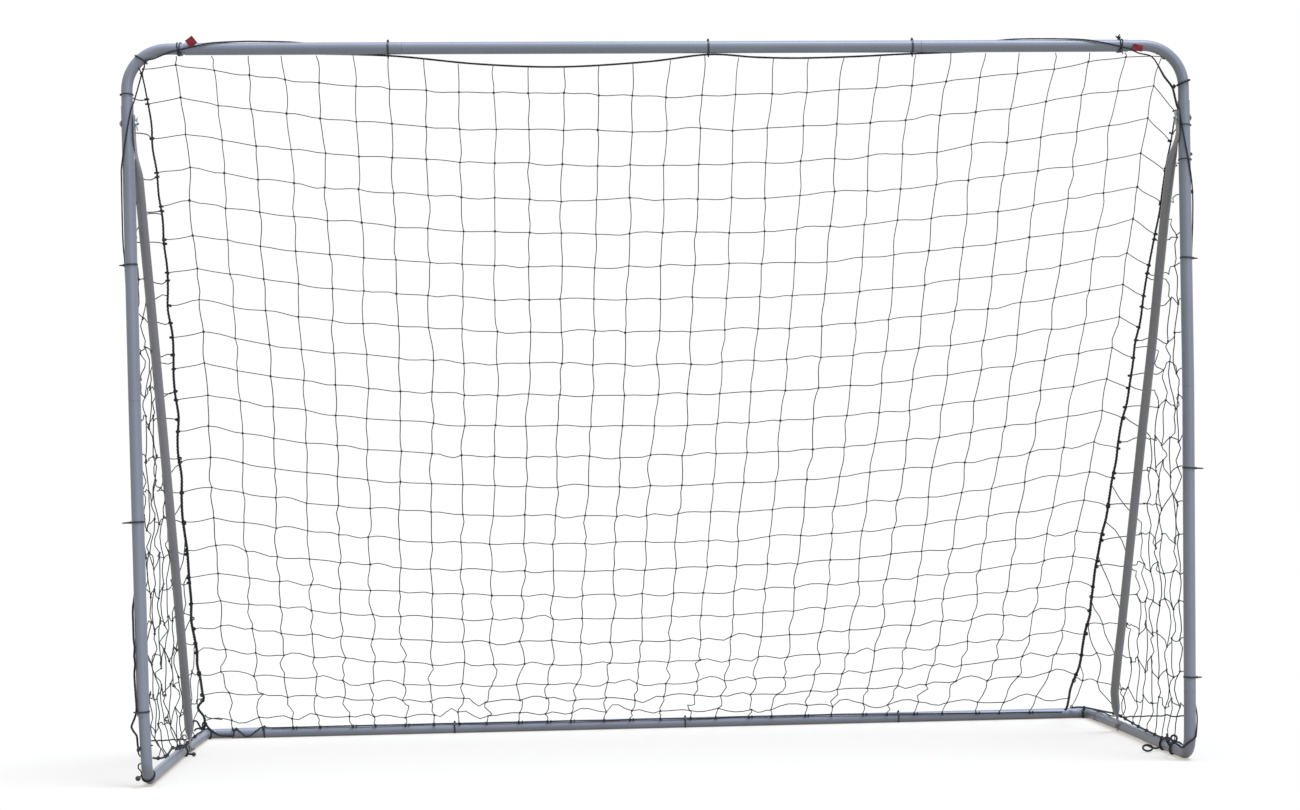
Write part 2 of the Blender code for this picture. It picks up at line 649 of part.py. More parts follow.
def make_cords(black):
    """Top rope, seam ropes, mouth cords, rear rope and the side cords."""
    xs = []
    for (x0, _), (x1, _) in zip(TOP_SAG, TOP_SAG[1:]):
        xs += [WIDTH * x0, WIDTH * (x0 + x1) / 2]
    xs.append(WIDTH * TOP_SAG[-1][0])
    make_cord("top_rope", black, [(x, FRONT_Y, sag_z(x)) for x in xs], len(xs), ROPE_R)
    left_keys = ((1.16, 92), (1.22, 88), (1.26, 60), (1.30, 16), (1.334, -14), (1.350, -14),
                 (1.40, -48), (1.46, -66), (1.53, -54), (1.58, -30), (1.62, -4), (1.68, 26),
                 (1.76, 66), (1.84, 88), (2.00, 88), (2.60, 88), (3.20, 88), (3.354, 88))
    right_keys = ((1.04, 92), (1.14, 88), (1.22, 60), (1.297, 14), (1.313, 14), (1.354, -6),
                  (1.42, -36), (1.50, -38), (1.60, -22), (1.70, -8), (1.78, 30), (1.86, 64),
                  (1.94, 86), (2.10, 88), (2.60, 88), (3.00, 88), (3.20, 88), (3.360, 88))
    for side, word, keys in ((-1, "left", left_keys), (1, "right", right_keys)):
        knots = [seam_point(side, i / (2 * BACK_GAPS_Z)) for i in range(2 * BACK_GAPS_Z)]
        make_cord("seam_rope_" + word, black, knots, len(knots), SEAM_R)
        steps = [smooth_at([Vector((a, t, 0)) for a, t in keys], i / 34) for i in range(35)]
        make_cord("mouth_cord_" + word, black, [mouth_point(side, p.x, p.y) for p in steps],
                  35, CORD_R)
        front = FRONT_Y + OUT_R + CORD_R + 2 * GAP
        x = side * SIDE_NET_X
        back = FRONT_Y + SIDE_ROPE_END * (REAR_Y - FRONT_Y)
        ys = [front + (back - front) * i / 15 for i in range(16)]
        side_points = [(x, y, side_rope_z(y)) for y in ys]
        make_cord("side_rope_" + word, black, side_points, 16, CORD_R)
    reach = (OUT_R + ROPE_R + 2 * GAP) / math.sqrt(2)
    half = REAR_JOINT_X - 0.037
    rear = [(-half + (2 * half - 0.020) * i / 12, REAR_Y - reach, GROUND_Z + reach) for i in range(13)]
    make_cord("rear_rope", black, rear, 13, ROPE_R)


def outline(circles, steps, start, end):
    """Points round a tube and the cord beside it, with the two straight runs between them."""
    closed = end - start >= 360
    big, small = circles
    away = Vector((small[0], small[1]))
    lean = math.degrees(math.acos((big[2] - small[2]) / away.length))
    aim = math.degrees(math.atan2(away.y, away.x))
    switch = [start + (aim + turn - start) % 360 for turn in (-lean, lean)]
    first, second = switch
    rows = []
    for i in range(steps):
        turn = start + (end - start) * i / (steps if closed else steps - 1)
        on_cord = (turn - first) % 360 < (second - first) % 360
        if min(abs((turn - s + 180) % 360 - 180) for s in switch) > 6:
            rows.append((turn, small if on_cord else big))
    rows += [(first, big), (first + 0.001, small), (second, small), (second + 0.001, big)]
    if not on_cord and closed:
        rows.append(((first + 0.5 * ((second - first) % 360) - start) % 360 + start, small))
    points = []
    for turn, (a, b, radius) in sorted(rows, key=lambda row: row[0]):
        ray = Vector((math.cos(math.radians(turn)), math.sin(math.radians(turn))))
        points.append((Vector((a, b)) + ray * radius, ray))
    return points


def make_tie(name, material, centre, axis_a, axis_b, cord, tail, length, start=0, end=360):
    """A flat plastic tie round a tube and the cord beside it, with its head and its tail."""
    centre = Vector(centre)
    axis_a = Vector(axis_a)
    axis_b = Vector(axis_b)
    along = axis_a.cross(axis_b)
    swell = 1 / math.cos(math.pi / TIE_STEPS)
    circles = ((0.0, 0.0, (OUT_R + GAP) * swell), (cord[0], cord[1], cord[2] + 0.0006))
    closed = end - start >= 360
    points = outline(circles, TIE_STEPS, start, end)
    bm = bmesh.new()
    rows = []
    for spot, ray in points:
        corners = []
        for out, wide in ((0, -0.5), (1, -0.5), (1, 0.5), (0, 0.5)):
            flat = spot + ray * (TIE_THICK * out)
            corners.append(bm.verts.new(centre + axis_a * flat.x + axis_b * flat.y
                                        + along * (TIE_WIDE * wide)))
        rows.append(corners)
    count = len(rows)
    for i in range(count if closed else count - 1):
        here = rows[i]
        there = rows[(i + 1) % count]
        for k in range(4):
            bm.faces.new((here[k], here[(k + 1) % 4], there[(k + 1) % 4], there[k]))
    if not closed:
        bm.faces.new(rows[0])
        bm.faces.new(rows[-1])
    bmesh.ops.recalc_face_normals(bm, faces=bm.faces)
    aim = (axis_a * tail[0] + axis_b * tail[1]).normalized()
    face = max(bm.faces, key=lambda f: f.normal.dot(aim) * 0.02 + (f.calc_center_median()
                                                                  - centre).dot(aim))
    head = bmesh.ops.extrude_discrete_faces(bm, faces=[face])["faces"][0]
    for vert in head.verts:
        vert.co += aim * TIE_HEAD
    middle = head.calc_center_median()
    tip = bmesh.ops.extrude_discrete_faces(bm, faces=[head])["faces"][0]
    for vert in tip.verts:
        vert.co = middle + (vert.co - middle) * 0.55
    strap = bmesh.ops.extrude_discrete_faces(bm, faces=[tip])["faces"][0]
    for vert in strap.verts:
        vert.co += aim * length
    return finish(bm, name, material, smooth=False)


def make_ties(black):
    """Ties on the posts, the crossbar and the rear bar."""
    beside = OUT_R + CORD_R + 2 * GAP
    turn = math.radians(88)
    for side, word, heights in ((-1, "left", LEFT_POST_TIES), (1, "right", RIGHT_POST_TIES)):
        for i, share in enumerate(heights):
            cord = (beside * math.sin(turn), -beside * math.cos(turn) * 1.0, CORD_R)
            place = (side * POST_X, FRONT_Y, HEIGHT * share)
            make_tie("tie_post_%s_%d" % (word, i + 1), black, place,
                     (side, 0, 0), (0, 1, 0), cord, (1.0, 0.12), TIE_TAIL)
    under = OUT_R + ROPE_R + GAP
    for i, share in enumerate(TOP_TIES):
        make_tie("tie_top_%d" % (i + 1), black, (WIDTH * share, FRONT_Y, BAR_Z), (0, 1, 0), (0, 0, 1),
                 (0.0, -under, ROPE_R), (-1.0, -0.5), TIE_STUB)
    reach = (OUT_R + ROPE_R + 2 * GAP) / math.sqrt(2)
    for i, share in enumerate(REAR_TIES):
        make_tie("tie_rear_%d" % (i + 1), black, (WIDTH * share, REAR_Y, GROUND_Z), (0, 1, 0), (0, 0, 1),
                 (-reach, reach, ROPE_R), (0.2, 1.0), TIE_STUB, start=-40, end=220)


def make_elastic(name, material, centre, axis_a, axis_b, tube_r, cord, bead_turn):
    """A round elastic loop on a tube and the cord beside it, swelling into its bead."""
    centre = Vector(centre)
    axis_a = Vector(axis_a)
    axis_b = Vector(axis_b)
    swell = 1 / math.cos(math.pi / TIE_STEPS)
    circles = ((0.0, 0.0, (tube_r / math.cos(math.pi / SIDES) + GAP) * swell),
               (cord[0], cord[1], cord[2] + 0.0006))
    points = []
    sizes = []
    for spot, ray in outline(circles, TIE_STEPS, 0, 360):
        turn = math.degrees(math.atan2(ray.y, ray.x))
        gap = abs((turn - bead_turn + 180) % 360 - 180)
        size = 1 + (BEAD_R / CORD_R - 1) * max(0.0, 1 - (gap / 34) ** 2)
        flat = spot + ray * (CORD_R * size + 0.0002)
        points.append(centre + axis_a * flat.x + axis_b * flat.y)
        sizes.append(size)
    return make_cord(name, material, points, len(points), CORD_R, sizes=sizes, closed=True)


def make_elastics(black):
    """Elastic loops with beads at the top joints and at the left foot."""
    beside = OUT_R + CORD_R + 2 * GAP
    for side, word, x, turn in ((-1, "left", TOP_JOINT_X + 0.016, -14),
                                (1, "right", TOP_JOINT_X - 0.021, 14)):
        cord = (-beside * math.cos(math.radians(turn)), beside * math.sin(math.radians(turn)),
                CORD_R)
        make_elastic("elastic_top_" + word, black, (side * x, FRONT_Y, BAR_Z), (0, 1, 0),
                     (0, 0, 1), THIN_R if side < 0 else TUBE_R, cord, -90)
    make_elastic("elastic_foot_left", black, (-POST_X, FRONT_Y, FOOT_JOINT_Z - 0.081), (-1, 0, 0), (0, 1, 0),
                 THIN_R, (THIN_R, 0.0, 0.0020), 60)


def make_tag(name, material, centre, turn):
    """A small square cloth tag against the front of the crossbar."""
    bm = bmesh.new()
    shape = Matrix.Diagonal((TAG_SIZE, TAG_THICK, TAG_SIZE, 1.0))
    place = Matrix.Translation(centre) @ Matrix.Rotation(math.radians(turn), 4, "Y")
    bmesh.ops.create_cube(bm, size=1.0, matrix=place @ shape)
    return finish(bm, name, material, smooth=False)


def main():
    clear_scene()
    steel = make_material("frame_steel", "8A8D9B", 0.45, 0.1)
    zinc = make_material("fastener", "3A3B3E", 0.5, 0.2)
    black = make_material("cord", "15161A", 0.85, 0.0)
    twine = make_material("net_twine", "2A2B26", 0.9, 0.0)
    plastic = make_material("tie_plastic", "121316", 0.5, 0.0)
    red = make_material("tag_cloth", "B8382E", 0.85, 0.0)
    make_top(steel)
    left_feet, left_joint = make_left_base(steel)
    right_feet, right_joint = make_right_base(steel)
    make_rear_bar(steel)
    foot_x = {"left": STRUT_X, "right": POST_X - THIN_R - GAP - STRUT_TAB}
    make_strut(-1, "left", steel, foot_x["left"])
    make_strut(1, "right", steel, foot_x["right"])
    make_fasteners(zinc, {"left": left_feet, "right": right_feet},
                   {"left": left_joint, "right": right_joint}, foot_x,
                   {"left": TUBE_R, "right": THIN_R})
    make_nets(twine)
    make_cords(black)
    make_ties(plastic)
    make_elastics(black)
    front = FRONT_Y - OUT_R - 2 * CORD_R - 3 * GAP - TAG_THICK / 2
    make_tag("tag_left", red, (-TOP_JOINT_X + 0.021, front, BAR_Z + 0.014), 38)
    make_tag("tag_right", red, (TOP_JOINT_X + 0.030, front, BAR_Z - 0.004), 6)


main()
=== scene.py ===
"""Dresses the soccer goal's frame: round tubes, knotted nets, laced ropes, ties, loops and finishes."""

import math
import random

import bmesh
import bpy
from bpy.props import FloatProperty, FloatVectorProperty, IntProperty, PointerProperty
from mathutils import Matrix, Vector


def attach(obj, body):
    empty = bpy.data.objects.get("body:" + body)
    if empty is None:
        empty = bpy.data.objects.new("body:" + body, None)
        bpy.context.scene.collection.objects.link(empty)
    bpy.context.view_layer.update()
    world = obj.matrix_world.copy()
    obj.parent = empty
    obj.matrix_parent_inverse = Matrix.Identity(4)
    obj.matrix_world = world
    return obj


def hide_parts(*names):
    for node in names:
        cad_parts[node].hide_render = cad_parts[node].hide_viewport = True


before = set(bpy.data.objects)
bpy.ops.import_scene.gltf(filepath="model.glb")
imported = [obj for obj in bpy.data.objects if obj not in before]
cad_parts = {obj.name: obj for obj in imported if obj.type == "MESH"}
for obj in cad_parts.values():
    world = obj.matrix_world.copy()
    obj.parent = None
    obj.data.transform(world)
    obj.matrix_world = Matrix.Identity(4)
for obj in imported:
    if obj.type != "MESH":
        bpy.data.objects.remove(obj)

bl_info = {
    "name": "Soccer Goal Dressing",
    "version": (1, 0, 0),
    "blender": (4, 5, 0),
    "location": "View3D > Sidebar > Goal",
    "description": "Builds the tubes, nets, ropes and ties of a freestanding soccer goal",
    "category": "Object",
}

# Places that the pieces share, in metres: x runs to the right, y to the rear and z up
POST_X = 1.483
FRONT_Y = -0.583
REAR_Y = 0.583
BAR_Z = 2.043
GROUND_Z = 0.017
TUBE_R = 0.017
THIN_R = 0.0155
CORNER_BEND_R = 0.115
FOOT_BEND_R = 0.055
BAR_JOINT_X = 0.730
TOP_JOINT_X = 1.326
POST_JOINT_Z = 1.070
FOOT_JOINT_Z = 0.197
JOINT_GAP = 0.0003
BOLT_Z = 1.837
KNEE_Z = 1.796
STRUT_X = 1.4642
STRUT_FOOT_X = {-1: STRUT_X, 1: 1.4657}
STRUT_FOOT_Y = 0.160
# How the tubes are divided: sides round them, steps along a bend, and the rounding of a rim
TUBE_SIDES = 40
BEND_STEPS = 14
RIM = 0.0005
# Radius round a tube's middle where cords begin, the air left between cord and tube, and the
# radius of the two border ropes
SEAT_R = 0.01733
CORD_GAP = 0.0006
BORDER_R = 0.003

# The hanging net seen from the side: depth and height down it
HANG = ((-0.583, 2.014), (-0.500, 1.730), (-0.400, 1.450), (-0.285, 1.180), (-0.160, 0.920),
        (-0.020, 0.660), (0.140, 0.420), (0.330, 0.200), (0.557, 0.040))
# Height and x of the two seam ropes, and of the outermost strands beside them
LEFT_SEAM = ((2.02, -1.440), (1.92, -1.435), (1.60, -1.416), (1.45, -1.416), (1.09, -1.425),
             (0.70, -1.440), (0.34, -1.451), (0.18, -1.457), (0.08, -1.474), (0.04, -1.478))
RIGHT_SEAM = ((2.02, 1.452), (1.92, 1.462), (1.85, 1.4715), (1.81, 1.465), (1.78, 1.461),
              (1.75, 1.457), (1.70, 1.456), (1.68, 1.454), (1.56, 1.446),
              (1.44, 1.429), (1.12, 1.407), (0.84, 1.395), (0.57, 1.381), (0.46, 1.379),
              (0.30, 1.386), (0.14, 1.387), (0.04, 1.396))
FIRST_STRAND = ((2.02, -1.350), (1.80, -1.334), (1.55, -1.334), (1.10, -1.331), (0.65, -1.350),
                (0.25, -1.371), (0.04, -1.386))
LAST_STRAND = ((2.02, 1.424), (1.95, 1.409), (1.83, 1.386), (1.64, 1.378), (1.40, 1.360),
               (1.10, 1.340), (0.86, 1.320), (0.65, 1.303), (0.25, 1.298), (0.04, 1.272))
# How far the frame leans sideways by height, as such a light frame does on its feet
LEFT_LEAN = ((0.00, 0.017), (0.10, 0.015), (0.20, 0.009), (0.60, 0.005), (1.07, 0.001),
             (1.60, -0.003), (2.04, -0.005))
RIGHT_LEAN = ((0.00, -0.008), (0.20, -0.005), (0.60, 0.000), (1.07, 0.004), (1.60, 0.004),
              (2.04, 0.003))
# Where the lean starts, out to the sides and forwards from the rear, and over how far it grows
LEAN_X = 1.30
LEAN_WIDTH = 0.13
LEAN_Y = 0.13
LEAN_DEPTH = 0.70
# Row of knots: its length down the net in the middle, and 1.33 m out to the sides
ROW_MIDDLE = ((0, 0.006), (1, 0.104), (6, 0.596), (11, 1.096), (16, 1.597), (18, 1.785),
              (20, 1.985), (21, 2.091), (22, 2.188), (23, 2.287))
ROW_SIDE = ((0, -0.060), (1, 0.012), (6, 0.490), (11, 0.976), (16, 1.480), (21, 1.984),
            (22, 2.092), (23, 2.266))
# Powers by which the rows rise to the left side and to the right side, and RIGHT_LIFT grows
LEFT_CURVE = 2.6
RIGHT_CURVE = 2.1
LIFT_CURVE = 2.6
# How much higher the rows lie towards the right side
RIGHT_LIFT = ((0, 0.020), (1, 0.026), (3, 0.025), (6, 0.017), (8, 0.018), (14, 0.006), (18, 0.0))
# The twine looks finer near the crossbar, where it is stretched, than near the ground
TWINE_SWELL = ((0.0, 1.12), (0.5, 1.06), (1.1, 0.98), (1.6, 0.90), (2.1, 0.86))
# How far the strands stray from straight, by row
LOOSENESS = ((0, 0.0018), (12, 0.0024), (18, 0.0036), (21, 0.0060), (23, 0.0085))
# How far a knot of the back net strays sideways or down, and in depth
KNOT_STRAY = 0.0024
DEPTH_STRAY = 0.003
# How much further down the rows meet the left seam rope, and by row the right one
LEFT_DROP = 0.014
RIGHT_DROP = ((1, 0.060), (2, 0.074), (4, 0.054), (5, 0.045), (8, 0.036), (14, 0.024),
              (22, 0.012), (23, 0.0))
# Where the first row ends at the upper right corner
CORNER_KNOT = (1.428, FRONT_Y, 2.0060)
# How far the hanging strands crowd towards the left, as a share of the width
CROWDING = 0.028
# Radius of the twine's turns round a seam rope
SEAM_TURN_R = 0.0057
# Where strands begin that go round the crossbar, behind and under its middle
STRAND_BEHIND = 0.004
STRAND_UNDER = 0.0188
# How far under its strands' tops the first row of knots lies at least
FIRST_ROW_GAP = 0.012

# The top rope: the span that hangs under the crossbar, and how deep the rope sags along it
UNDER_BAR = (-0.80, 0.74)
TOP_SAG = ((-1.322, 0.000), (-1.05, -0.006), (-0.768, 0.000), (-0.52, -0.024), (-0.29, -0.033),
           (-0.05, -0.020), (0.127, 0.000), (0.26, -0.008), (0.387, -0.011), (0.55, -0.007),
           (0.706, 0.000), (1.00, -0.005), (1.288, 0.000))
# Where the top rope lies behind the crossbar: behind the bar's middle, and over the hanging rope
ROPE_BEHIND = 0.0198
ROPE_OVER = 0.0176

# How far from the goal's middle the side nets hang, how far behind the struts they begin to turn in,
# and how far behind them a strand turns round a strut
SIDE_NET_X = 1.4820
BEHIND_STRUT = 0.016
ROUND_STRUT = 0.018
# Where the side nets' first rows go round the posts, and how far the rows lie apart
SIDE_TOP = {-1: 1.917, 1: 1.819}
SIDE_PITCH = 0.098
# How far apart the side nets' columns lie at least
SIDE_COLUMN = 0.080
# Where the side nets begin beside the posts, how low their rows go, and the air over the side ropes
SIDE_FRONT_Y = -0.565
LOWEST_ROW_Z = 0.07
OVER_SIDE_ROPE = 0.022
# How far a slack side net's knots hang down, and lie up and down in turn
SIDE_SAG = 0.016
SIDE_ZIGZAG = 0.017
# The cord or rope that a side net's hanging strands end on, as (y, x, z)
LEFT_LOW = ((-0.56, -1.4680, 0.0780), (-0.53, -1.4640, 0.0730), (-0.447, -1.4610, 0.0640),
            (-0.366, -1.4600, 0.0600), (-0.298, -1.4600, 0.0660), (-0.246, -1.4600, 0.0690),
            (-0.170, -1.4600, 0.0580), (-0.105, -1.4610, 0.0510), (-0.030, -1.4640, 0.0450),
            (0.05, -1.4660, 0.0385), (0.20, -1.4740, 0.0375), (0.50, -1.4790, 0.0385))
RIGHT_LOW = ((-0.56, 1.4680, 0.0520), (-0.45, 1.4700, 0.0400), (-0.37, 1.4715, 0.0370),
             (-0.30, 1.4690, 0.0385), (-0.09, 1.4685, 0.0430), (0.08, 1.4700, 0.0500),
             (0.18, 1.4715, 0.0540), (0.30, 1.4715, 0.0480), (0.45, 1.4700, 0.0410),
             (0.52, 1.4600, 0.0400), (0.552, 1.4400, 0.0400), (0.564, 1.4180, 0.0370))

# How far the right strut bows towards the middle of the goal, by its share from top to foot
STRUT_BOW = ((0.0, 0.0), (0.01, 0.001), (0.05, 0.0123), (0.12, 0.0133), (0.20, 0.0130),
             (0.32, 0.0120), (0.46, 0.0143), (0.65, 0.0150), (0.81, 0.0160), (0.87, 0.018),
             (0.93, 0.018), (0.965, 0.009), (0.985, 0.0), (1.0, 0.0))
# Half width and half thickness of a strut: pressed flat, and round
FLAT = (0.0175, 0.0015)
ROUND = (0.0135, 0.0135)
# How far a strut reaches past its foot bolt, and its foot's small shift to the side: how far before
# the strut's end it starts, and over what length it grows
PAST_BOLT = 0.013
SHIFT_BEFORE = 0.130
SHIFT_LENGTH = 0.052
# Rings of a strut as place, half width and half thickness: the place is a height for the part above
# the knee, then a length below the knee, then a length before the end
STRUT_HEAD = ((1.862, 0.0060, 0.0011), (1.859, 0.0120, 0.0015), (1.852, 0.0168, 0.0015),
              (1.810, *FLAT))
STRUT_SWELL = ((0.050, 0.0170, 0.0026), (0.064, 0.0162, 0.0052), (0.080, 0.0151, 0.0086),
               (0.096, 0.0141, 0.0118), (0.112, *ROUND))
STRUT_END = ((0.086, *ROUND), (0.075, 0.0140, 0.0118), (0.064, 0.0149, 0.0084),
             (0.054, 0.0159, 0.0052), (0.045, 0.0168, 0.0030), (0.036, *FLAT),
             (0.012, 0.0172, 0.0015), (0.004, 0.0140, 0.0015), (0.0, 0.0080, 0.0011))

# Run of the mouth cords as places (x, z) on the mouth frame's tubes, seen from the front; a third
# value of 1 puts the cord behind the tube, and a fourth is how far it lies off the tube
LEFT_CORD = ((-0.97, 2.058, 1), (-1.04, 2.0625, 1), (-1.124, 2.0625), (-1.173, 2.0624),
             (-1.250, 2.057), (-1.291, 2.048), (-1.343, 2.036), (-1.376, 2.027), (-1.408, 2.015),
             (-1.427, 2.008), (-1.435, 1.990), (-1.441, 1.975), (-1.447, 1.955), (-1.458, 1.918),
             (-1.465, 1.890), (-1.471, 1.869), (-1.480, 1.822), (-1.491, 1.765),
             (-1.501, 1.714), (-1.5031, 1.682), (-1.5031, 1.516), (-1.5010, 1.44, 1),
             (-1.497, 1.20, 1), (-1.497, 0.735, 1), (-1.4985, 0.560, 1), (-1.5031, 0.495),
             (-1.5018, 0.455, 0, 0.0032), (-1.5018, 0.415, 0, 0.0032), (-1.4990, 0.388, 0, 0.0032),
             (-1.5015, 0.366, 0, 0.0032), (-1.4990, 0.342, 0, 0.0032), (-1.5030, 0.320, 0, 0.0032),
             (-1.5020, 0.285, 0, 0.0032), (-1.4985, 0.226, 0, 0.0032))
RIGHT_CORD = ((0.90, 2.055, 1), (0.98, 2.0625, 1), (1.069, 2.0625), (1.184, 2.059),
              (1.241, 2.050), (1.296, 2.038), (1.331, 2.029), (1.356, 2.022), (1.391, 2.013),
              (1.408, 1.992), (1.428, 1.955), (1.450, 1.925), (1.458, 1.895), (1.463, 1.870),
              (1.466, 1.852), (1.478, 1.772), (1.491, 1.700), (1.502, 1.630), (1.5031, 1.544),
              (1.501, 1.437, 1), (1.495, 1.20, 1), (1.495, 0.837, 1), (1.495, 0.50, 1),
              (1.492, 0.239, 1), (1.498, 0.185, 1), (1.5031, 0.135))
# The mouth cords' last stretches, off the tubes' fronts
LEFT_TAIL = ((-1.5000, -0.594, 0.209), (-1.5070, -0.592, 0.190), (-1.5165, -0.590, 0.169),
             (-1.5120, -0.590, 0.157), (-1.5045, -0.591, 0.145), (-1.5035, -0.590, 0.126),
             (-1.5030, -0.590, 0.112))
RIGHT_TAIL = ((1.4610, -0.550, 0.0400), (1.4590, -0.520, 0.0430))
# How thick the mouth cords and the seam ropes are along their length
LEFT_SWELL = ((0.0, 1.0), (0.80, 1.0), (0.83, 1.45), (1.0, 1.45))
RIGHT_SWELL = ((0.0, 1.0), (0.205, 1.0), (0.22, 1.55), (0.262, 1.55), (0.272, 1.0), (0.94, 1.0),
               (0.96, 1.35), (1.0, 1.35))
SEAM_SWELL = ((0.0, 0.48), (0.03, 0.50), (0.05, 0.60), (0.16, 0.68), (0.30, 0.76), (0.60, 0.92),
              (0.80, 1.0), (1.0, 0.92))
# Length of rope over which its three strands go once round: cords, border ropes, seam ropes
CORD_LAY = 0.017
ROPE_LAY = 0.022
SEAM_LAY = 0.034
# Starts and ends of the seam ropes, and the rear rope's left end, which is wound round the bar
SEAM_START = ((-1.4405, -0.586, 1.976), (-1.433, -0.572, 1.925))
SEAM_END_LEFT = ((-1.4580, 0.366, 0.1750), (-1.4600, 0.402, 0.1490), (-1.4850, 0.446, 0.1170),
                 (-1.4740, 0.495, 0.0820), (-1.4780, 0.537, 0.0500))
SEAM_END_RIGHT = ((1.4030, 0.540, 0.068), (1.4000, 0.552, 0.042), (1.3960, 0.560, 0.030))
REAR_START = ((-1.3880, 0.5640, 0.0080), (-1.3865, 0.5640, 0.0250), (-1.3800, 0.5700, 0.0335),
              (-1.3660, 0.5640, 0.0220), (-1.3520, 0.5640, 0.0090), (-1.3360, 0.5640, 0.0070),
              (-1.3200, 0.5635, 0.0210), (-1.3040, 0.5680, 0.0320), (-1.2900, 0.5740, 0.0385))
# How far round the rear bar its rope lies, in degrees above level, by place along it
REAR_TURN = ((-1.36, 48), (0.60, 45), (1.10, 26), (1.40, 16))
# Side ropes: how far out they lie, and their depth and height
SIDE_ROPE_X = 1.4807
SIDE_ROPE = ((-0.5629, 0.1257), (-0.40, 0.1085), (-0.20, 0.0870), (0.00, 0.0655), (0.15, 0.0480),
             (0.27, 0.0385), (0.33, 0.0371), (0.42, 0.0371), (0.50, 0.0371))

# The air under heads, nuts and ties
SEAT_GAP = 0.0003
# Threads: outer and inner radius, length of one turn, and how far bolts reach past what they grip
THREAD_R = 0.0036
THREAD_INNER_R = 0.0031
THREAD_TURN = 0.0010
PAST_GRIP = 0.0105
# Turned shapes of the fasteners as (radius, height) pairs
BOLT_DOME = ((0.0, -0.0052), (0.0030, -0.0050), (0.0056, -0.0038), (0.0066, -0.0022),
             (0.0068, -0.0014))
WING_NUT = ((0.0039, 0.0003), (0.0078, 0.0003), (0.0080, 0.0009), (0.0064, 0.0042),
            (0.0060, 0.0060), (0.0039, 0.0060), (0.0039, 0.0003))
FOOT_NUT = ((0.0039, 0.0003), (0.0068, 0.0003), (0.0068, 0.0052), (0.0062, 0.0058),
            (0.0039, 0.0058), (0.0039, 0.0003))
REAR_SCREW = ((0.0, -0.0011), (0.0006, -0.0011), (0.0013, -0.0021), (0.0024, -0.0020),
              (0.0034, -0.0013), (0.0038, -0.0003), (0.0019, -0.0003), (0.0019, 0.0052),
              (0.0, 0.0064))

# Lowest height for the middle of a loose cord, so that it lies on the ground
LOOSE_Z = 0.0031

# Starting numbers of the random draws, so that each run gives the same goal
BACK_SEED = 7
SIDE_SEED = {-1: 3, 1: 5}
ROPE_SEED = 11
LOOSE_SEED = 4


def linear(text):
    """An sRGB hex colour as linear values."""
    values = [int(text[i:i + 2], 16) / 255 for i in (0, 2, 4)]
    return tuple(v / 12.92 if v <= 0.04045 else ((v + 0.055) / 1.055) ** 2.4 for v in values)


class GoalSizes(bpy.types.PropertyGroup):
    """Sizes of the dressed goal."""
    twine_radius: FloatProperty(name="Net twine radius", default=0.00142, unit="LENGTH",
                                description="Half the thickness of the net's twine")
    knot_radius: FloatProperty(name="Net knot radius", default=0.0036, unit="LENGTH",
                               description="Half the width of one knot")
    columns: IntProperty(name="Strands across", default=29,
                         description="Hanging strands of the back net")
    rows: IntProperty(name="Rows down", default=22, description="Rows of knots of the back net")
    seam_radius: FloatProperty(name="Seam rope radius", default=0.0048, unit="LENGTH",
                               description="Half the thickness of the two seam ropes")
    rope_radius: FloatProperty(name="Border rope radius", default=0.0029, unit="LENGTH",
                               description="Half the thickness of the top and rear ropes")
    cord_radius: FloatProperty(name="Cord radius", default=0.0022, unit="LENGTH",
                               description="Half the thickness of the lacing cords")
    tube_wall: FloatProperty(name="Tube wall", default=0.0012, unit="LENGTH",
                             description="Thickness of the steel tube")


class GoalColours(bpy.types.PropertyGroup):
    """Colours of the dressed goal."""
    powder: FloatVectorProperty(name="Powder coat", subtype="COLOR", default=linear("82848A"),
                                description="Bluish grey coat of the tubes")
    strut: FloatVectorProperty(name="Strut coat", subtype="COLOR", default=linear("848281"),
                               description="Plain grey coat of the two struts")
    zinc: FloatVectorProperty(name="Zinc", subtype="COLOR", default=linear("9A9C9E"),
                              description="Plating of the bolts and nuts")
    twine: FloatVectorProperty(name="Twine", subtype="COLOR", default=linear("1C1D1A"),
                               description="Net twine")
    cord: FloatVectorProperty(name="Cord", subtype="COLOR", default=linear("131417"),
                              description="Ropes and lacing cords")
    plastic: FloatVectorProperty(name="Tie plastic", subtype="COLOR", default=linear("141519"),
                                 description="Plastic of the ties and beads")
    tag: FloatVectorProperty(name="Tag cloth", subtype="COLOR", default=linear("7E1822"),
                             description="Cloth of the two tags")


# Places on the frame and the net

def between(table, at):
    """A value read from (place, value) pairs, straight from one pair to the next."""
    rows = sorted(table)
    if at <= rows[0][0]:
        return rows[0][1]
    for (a, x), (b, y) in zip(rows, rows[1:]):
        if at <= b:
            return x + (y - x) * (at - a) / (b - a)
    return rows[-1][1]


def clamped(value):
    """A value kept between 0 and 1."""
    return min(1.0, max(0.0, value))


def smooth_run(points, step):
    """Points about a step apart on the smooth curve through the given points."""
    spots = [Vector(p) for p in points]
    spots = [spots[0] * 2 - spots[1]] + spots + [spots[-1] * 2 - spots[-2]]
    made = []
    for p0, p1, p2, p3 in zip(spots, spots[1:], spots[2:], spots[3:]):
        count = max(1, round((p2 - p1).length / step))
        for i in range(count):
            f = i / count
            made.append(0.5 * (2 * p1 + (p2 - p0) * f + (2 * p0 - 5 * p1 + 4 * p2 - p3) * f ** 2
                               + (3 * p1 - p0 - 3 * p2 + p3) * f ** 3))
    return made + [Vector(points[-1])]


def hang_table():
    """Length down the net with its depth and height, every 10 mm or so."""
    spots = smooth_run([(0.0, y, z) for y, z in HANG], 0.010)
    rows = [(0.0, spots[0].y, spots[0].z)]
    for a, b in zip(spots, spots[1:]):
        rows.append((rows[-1][0] + (b - a).length, b.y, b.z))
    return rows


